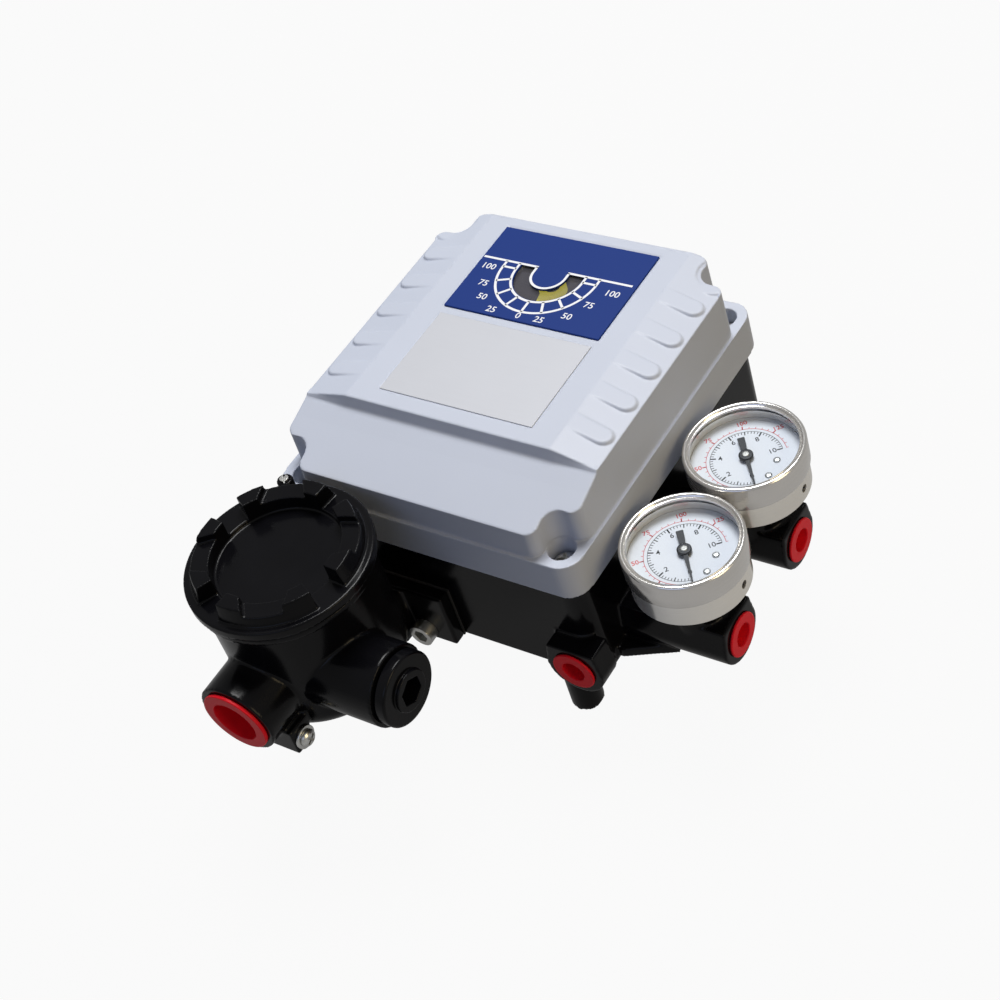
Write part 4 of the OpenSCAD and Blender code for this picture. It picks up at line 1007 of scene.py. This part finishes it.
class POSITIONER_OT_gauges(bpy.types.Operator):
    """Builds the two pressure gauges"""

    bl_idname = "positioner.gauges"
    bl_label = "Gauges"

    def execute(self, context):
        s = context.scene.positioner_gauge
        black = finish_of("gauge_ink", printed, (0.012, 0.012, 0.014), 0.5)
        red = finish_of("gauge_red_ink", printed, (0.62, 0.03, 0.035), 0.5)
        card = finish_of("gauge_card", printed, (0.76, 0.77, 0.80), 0.45)
        glass = finish_of("gauge_glass", clear_glass, (0.97, 0.985, 1.0), 0.15)
        for name in GAUGES:
            axis = joint_axis(name + "_pointer_turn")
            steel = finish_of(name + "_gauge_steel", turned_steel, s.steel, tuple(axis), 0.6)
            foot = Vector((axis.x, axis.y, 0.0))
            bezel = bezel_mesh(foot)
            node = name + "_gauge_"
            rim = finish_of(name + "_bezel_steel", turned_steel, tinted(s.steel, 0.80), tuple(axis), 0.86)
            new_object(node + "bezel_skin", bezel, rim, HOUSING, (node + "bezel",))
            case = eased_copy(node + "case", 0.6)
            new_object(node + "case_skin", case, steel, HOUSING, (node + "case",))
            paint_node(node + "lens", glass)
            paint_node(node + "dial", card)
            for inner in ("socket", "tube", "movement"):
                paint_node(node + inner, brass())
            self.marks(name, s, foot, black, red)
            self.hand(name, s, foot, black)
        return {"FINISHED"}

    def marks(self, name, s, foot, black, red):
        """Printed scales on a dial."""
        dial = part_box(name + "_gauge_dial")[1].z
        face = Vector((foot.x, foot.y, dial))
        thin = 0.03
        arc = s.black_arc
        ink = [
            arc_band(face, arc, arc + 0.16, s.start, s.sweep, 0.0, thin),
            arc_marks(black, face, 51, arc - 0.5, s.start, s.sweep, 1.0, 0.24, 2 * thin),
            arc_marks(black, face, 6, arc - 0.95, s.start, s.sweep, 1.9, 0.5, 2 * thin),
            arc_marks(black, face, 11, arc - 0.75, s.start, s.sweep, 1.5, 0.34, 2 * thin),
        ]
        for k in range(6):
            turn = math.radians(s.start + s.sweep * k / 5)
            spot = (face / MM) + Vector((math.cos(turn), math.sin(turn), 0)) * (arc - 3.4)
            ink.append(figures(str(2 * k), (spot.x, spot.y, face.z / MM + thin / 2), 2.1, 45.0, thin))
        new_object(name + "_gauge_black_scale", joined(ink), black, HOUSING)
        arc = s.red_arc
        full = 145.0
        ink = [
            arc_band(face, arc, arc + 0.18, s.start, s.sweep, 0.0, thin),
            arc_marks(red, face, 30, arc + 0.45, s.start, s.sweep, 0.8, 0.2, 2 * thin),
        ]
        for value in (25, 50, 75, 100, 125):
            turn = s.start + s.sweep * value / full
            ink.append(arc_marks(red, face, 1, arc + 0.75, turn, 0.0, 1.5, 0.42, 2 * thin))
            way = Vector((math.cos(math.radians(turn)), math.sin(math.radians(turn)), 0))
            spot = (face / MM) + way * (arc + 2.9)
            ink.append(figures(str(value), (spot.x, spot.y, face.z / MM + thin / 2), 1.9, 45.0, thin))
        new_object(name + "_gauge_red_scale", joined(ink), red, HOUSING)

    def hand(self, name, s, foot, black):
        """Pointer, hub and the dial's small screws."""
        body = name + "_pointer"
        node = name + "_gauge_pointer"
        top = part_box(node)[1].z
        blade = pointer_mesh(Vector((foot.x, foot.y, top - 1.0 * MM)), s.start)
        hub = lathe(
            rounded([(0.0, -1.2), (2.5, -1.2), (2.5, -0.2), (2.1, 0.0), (0.0, 0.0)], 0.25, 3),
            Vector((foot.x, foot.y, top)), 48
        )
        new_object(node + "_skin", joined([blade, hub]), black, body, (node,))
        pin = lathe(
            rounded([(0.0, -1.3), (1.25, -1.3), (1.25, 0.02), (1.0, 0.2), (0.0, 0.24)], 0.15, 3),
            Vector((foot.x, foot.y, top)), 40
        )
        dull = finish_of("dull_steel", plain_metal, (0.42, 0.41, 0.38), 0.5)
        new_object(node + "_pin", pin, dull, body)
        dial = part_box(name + "_gauge_dial")[1].z
        heads = []
        for x, y, size in ((10.2, 2.3, 1.25), (10.7, -4.9, 1.25), (9.7, -11.2, 0.9)):
            heads.append(lathe(
                rounded([(0.0, -0.1), (size, -0.1), (size, 0.35), (size * 0.7, 0.6), (0.0, 0.7)], 0.12, 3),
                Vector((foot.x + x * MM, foot.y + y * MM, dial)), 32
            ))
        new_object(name + "_gauge_dial_screws", joined(heads), stainless(), HOUSING)


def paint_node(node, material):
    """Gives a CAD node a material."""
    slots = NODES[node].data.materials
    slots.clear()
    slots.append(material)


def screw_mesh(place, radius, height):
    """Pan head with crossed slots, on a place in metres."""
    crown = radius * 0.62
    dome = lathe(
        rounded([(0.0, -height), (radius, -height), (radius, -height * 0.45), (crown, -0.1), (0.0, 0.0)], 0.5, 5),
        place, 48
    )
    item = scratch(dome)
    wide, deep = radius * 0.27, height * 0.62
    bars = joined([
        slab((-crown, -wide / 2, -deep), (crown, wide / 2, 1.0)),
        slab((-wide / 2, -crown, -deep), (wide / 2, crown, 1.0)),
    ])
    bars.transform(Matrix.Translation(place) @ Matrix.Rotation(math.radians(28), 4, "Z"))
    tool = scratch(bars)
    return shaded(cut_away(item, tool, True), 40.0)


class POSITIONER_OT_fasteners(bpy.types.Operator):
    """Builds the screws seen from outside"""

    bl_idname = "positioner.fasteners"
    bl_label = "Fasteners"

    def execute(self, context):
        steel = stainless()
        low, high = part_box("cover_screws")
        foot, neck = low.z / MM, high.z / MM - 2.9
        head = SCREW_HEAD * MM
        places = [(sx * (high.x - head), sy * (high.y - head)) for sx, sy in CORNERS]
        heads = [screw_mesh(Vector((x, y, high.z)), SCREW_HEAD, 3.0) for x, y in places]
        shank = [(0.0, foot), (2.5, foot), (2.5, neck), (0.0, neck)]
        shanks = [lathe(shank, Vector((x, y, 0)), 32) for x, y in places]
        new_object("cover_screws_skin", joined(heads + shanks), steel, HOUSING, ("cover_screws",))
        node = "terminal_box_screws"
        new_object(node + "_skin", eased_copy(node, 0.3), steel, HOUSING, (node,))
        low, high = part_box("earth_screw")
        reach = (high.x - low.x) / MM
        stem = lathe(rounded(
            [(0.0, -reach), (2.0, -reach), (2.0, -3.15), (4.3, -3.15), (4.3, -2.2), (0.0, -2.2)], 0.15, 2
        ), Vector(), 48)
        earth = joined([screw_mesh(Vector(), 3.2, 2.2), stem])
        place = Vector((high.x, (low.y + high.y) / 2, (low.z + high.z) / 2))
        earth.transform(Matrix.Translation(place) @ Matrix.Rotation(math.radians(90), 4, "Y"))
        new_object("earth_screw_skin", earth, steel, HOUSING, ("earth_screw",))
        return {"FINISHED"}


# Share of the spring's solid length that it keeps at rest
SPRING_REST = 0.965


class POSITIONER_OT_inside(bpy.types.Operator):
    """Gives the remaining pieces their finish"""

    bl_idname = "positioner.inside"
    bl_label = "Inner pieces"

    def execute(self, context):
        steel = stainless()
        iron = finish_of("motor_iron", plain_metal, (0.12, 0.12, 0.13), 0.45)
        alloy = finish_of("valve_aluminium", plain_metal, (0.60, 0.62, 0.64), 0.35)
        rubber = finish_of("rubber", moulding, (0.02, 0.02, 0.022), 0.7)
        ivory = finish_of("terminal_plastic", moulding, (0.78, 0.75, 0.64), 0.5)
        # The yellow pointer is given a painted glow so that it looks brighter under the window
        yellow = finish_of("yellow_pointer", moulding, (1.0, 0.82, 0.04), 0.4, 0.0, 0.4, 0.35)
        # The window glass gets a share of painted reflection veil
        glass = finish_of("window_glass", clear_glass, (0.97, 0.985, 1.0), 0.6, 0.09)
        coil = finish_of("copper_coil", coil_winding, (0.45, 0.18, 0.05))
        for material, names in (
            (steel, ("main_shaft", "shaft_lever", "lever_nut", "lever_pin", "shaft_circlip", "feedback_cam", "cam_nut",
                     "follower_pivot", "follower_roller", "beam_pivot", "balance_beam", "pilot_spool")),
            (brass(), ("shaft_bush", "follower_arm", "nozzle_block", "auto_manual_screw", "zero_knob", "span_knob",
                       "terminal_screws")),
            (iron, ("motor_yoke", "motor_magnets")), (alloy, ("pilot_block", "pilot_cap")),
            (rubber, ("cover_gasket", "terminal_box_gasket", "cap_o_ring")), (ivory, ("terminal_block",)),
            (yellow, ("indicator",)), (glass, ("window_lens",)), (coil, ("motor_coil",))
        ):
            for name in names:
                paint_node(name, material)
        self.spring(steel)
        return {"FINISHED"}

    def spring(self, steel):
        """Feedback spring shortened once to its rest length, with room for the beam's tilt."""
        mesh = merged("feedback_spring")
        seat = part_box("feedback_spring")[0].y
        for vertex in mesh.vertices:
            vertex.co.y = seat + (vertex.co.y - seat) * SPRING_REST
        item = new_object("feedback_spring_skin", mesh, steel, "beam", ("feedback_spring",))
        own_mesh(item)


def area_light(name, place, size, power, tint):
    """A soft lamp aimed at the object."""
    lamp = bpy.data.lights.new(name, "AREA")
    lamp.shape = "RECTANGLE"
    lamp.size, lamp.size_y = size
    lamp.energy = power
    lamp.color = tint
    item = bpy.data.objects.new(name, lamp)
    bpy.context.scene.collection.objects.link(item)
    item.location = place
    item.rotation_mode = "QUATERNION"
    item.rotation_quaternion = (Vector(LAMP_TARGET) - Vector(place)).to_track_quat("-Z", "Y")


# Lamps: name, place and size in metres, power in watts and tint
LAMPS = (
    ("key", (-0.15, 0.5, 1.45), (0.7, 0.7), 21.5, (1.0, 1.0, 1.0)),
    ("front", (0.15, -1.1, 0.75), (0.9, 0.5), 1.1, (0.42, 0.56, 1.0)),
    ("side", (1.1, -0.1, 0.55), (0.5, 0.7), 3.4, (1.0, 0.80, 0.46)),
)
LAMP_TARGET = (0.0, -0.02, 0.06)


class POSITIONER_OT_stage(bpy.types.Operator):
    """Sets the floor, the light and the camera"""

    bl_idname = "positioner.stage"
    bl_label = "Stage"

    def execute(self, context):
        s = context.scene.positioner_stage
        scene = context.scene
        scene.view_settings.view_transform = "Standard"
        self.floor(s)
        self.world()
        for lamp in LAMPS:
            area_light(*lamp)
        camera = bpy.data.cameras.new("camera")
        item = bpy.data.objects.new("camera", camera)
        scene.collection.objects.link(item)
        ahead = Vector(s.forward).normalized()
        right = Vector(s.right).normalized()
        up = right.cross(ahead).normalized()
        turn = Matrix((right, up, -ahead)).transposed()
        item.matrix_world = Matrix.Translation(Vector(s.eye)) @ turn.to_4x4()
        camera.sensor_width = 36.0
        camera.lens = s.lens
        camera.clip_start = 0.01
        camera.clip_end = 20.0
        scene.camera = item
        return {"FINISHED"}

    def floor(self, s):
        """A wide pale floor that keeps the shadow and shows white to the camera."""
        bm = bmesh.new()
        bmesh.ops.create_grid(bm, x_segments=1, y_segments=1, size=6.0)
        mesh = bpy.data.meshes.new("floor")
        bm.to_mesh(mesh)
        bm.free()
        item = bpy.data.objects.new("floor", mesh)
        bpy.context.scene.collection.objects.link(item)
        sh = Shader("floor")
        dull = sh.node("ShaderNodeBsdfDiffuse", {}, {"Color": rgba(s.floor)})
        white = sh.node("ShaderNodeEmission", {}, {"Strength": 1.0})
        path = sh.node("ShaderNodeLightPath")
        seen = Value(sh, path.outputs["Is Camera Ray"]) * 0.94 + Value(sh, path.outputs["Is Glossy Ray"]) * 0.25
        mesh.materials.append(sh.end(sh.mixed(seen, dull, white)))

    def world(self):
        """Dim white surroundings that the camera sees as white and metal as pale grey."""
        world = bpy.data.worlds.new("studio")
        bpy.context.scene.world = world
        world.use_nodes = True
        tree = world.node_tree
        tree.nodes.clear()
        sky = tree.nodes.new("ShaderNodeBackground")
        path = tree.nodes.new("ShaderNodeLightPath")
        output = tree.nodes.new("ShaderNodeOutputWorld")
        level = None
        for ray, share in (("Is Glossy Ray", 0.25), ("Is Camera Ray", 0.9)):
            step = tree.nodes.new("ShaderNodeMath")
            step.operation = "MULTIPLY_ADD"
            tree.links.new(path.outputs[ray], step.inputs[0])
            step.inputs[1].default_value = share
            if level:
                tree.links.new(level, step.inputs[2])
            else:
                step.inputs[2].default_value = 0.1
            level = step.outputs[0]
        tree.links.new(level, sky.inputs["Strength"])
        tree.links.new(sky.outputs[0], output.inputs["Surface"])
        sky.inputs["Color"].default_value = (1.0, 1.0, 1.0, 1.0)


OPERATORS = (
    POSITIONER_OT_castings, POSITIONER_OT_cover, POSITIONER_OT_plugs, POSITIONER_OT_labels, POSITIONER_OT_gauges,
    POSITIONER_OT_fasteners, POSITIONER_OT_inside, POSITIONER_OT_stage,
)


class POSITIONER_PT_panel(bpy.types.Panel):
    """Lists the steps that build the positioner"""

    bl_idname = "POSITIONER_PT_panel"
    bl_label = "Valve positioner"
    bl_space_type = "VIEW_3D"
    bl_region_type = "UI"
    bl_category = "Positioner"

    def draw(self, context):
        for operator in OPERATORS:
            self.layout.operator(operator.bl_idname)
        for key, kind in SETTINGS.items():
            box = self.layout.box()
            box.label(text=kind.__doc__)
            for name in kind.__annotations__:
                box.prop(getattr(context.scene, key), name)


CLASSES = (*SETTINGS.values(), *OPERATORS, POSITIONER_PT_panel)


def register():
    """Adds the classes and the scene's settings."""
    for item in CLASSES:
        bpy.utils.register_class(item)
    for key, kind in SETTINGS.items():
        setattr(bpy.types.Scene, key, bpy.props.PointerProperty(type=kind))


def unregister():
    """Removes what register added."""
    for key in SETTINGS:
        delattr(bpy.types.Scene, key)
    for item in reversed(CLASSES):
        bpy.utils.unregister_class(item)


def main():
    """Builds every piece in turn."""
    register()
    for operator in OPERATORS:
        group, name = operator.bl_idname.split(".")
        getattr(getattr(bpy.ops, group), name)()


if __name__ == "__main__":
    main()
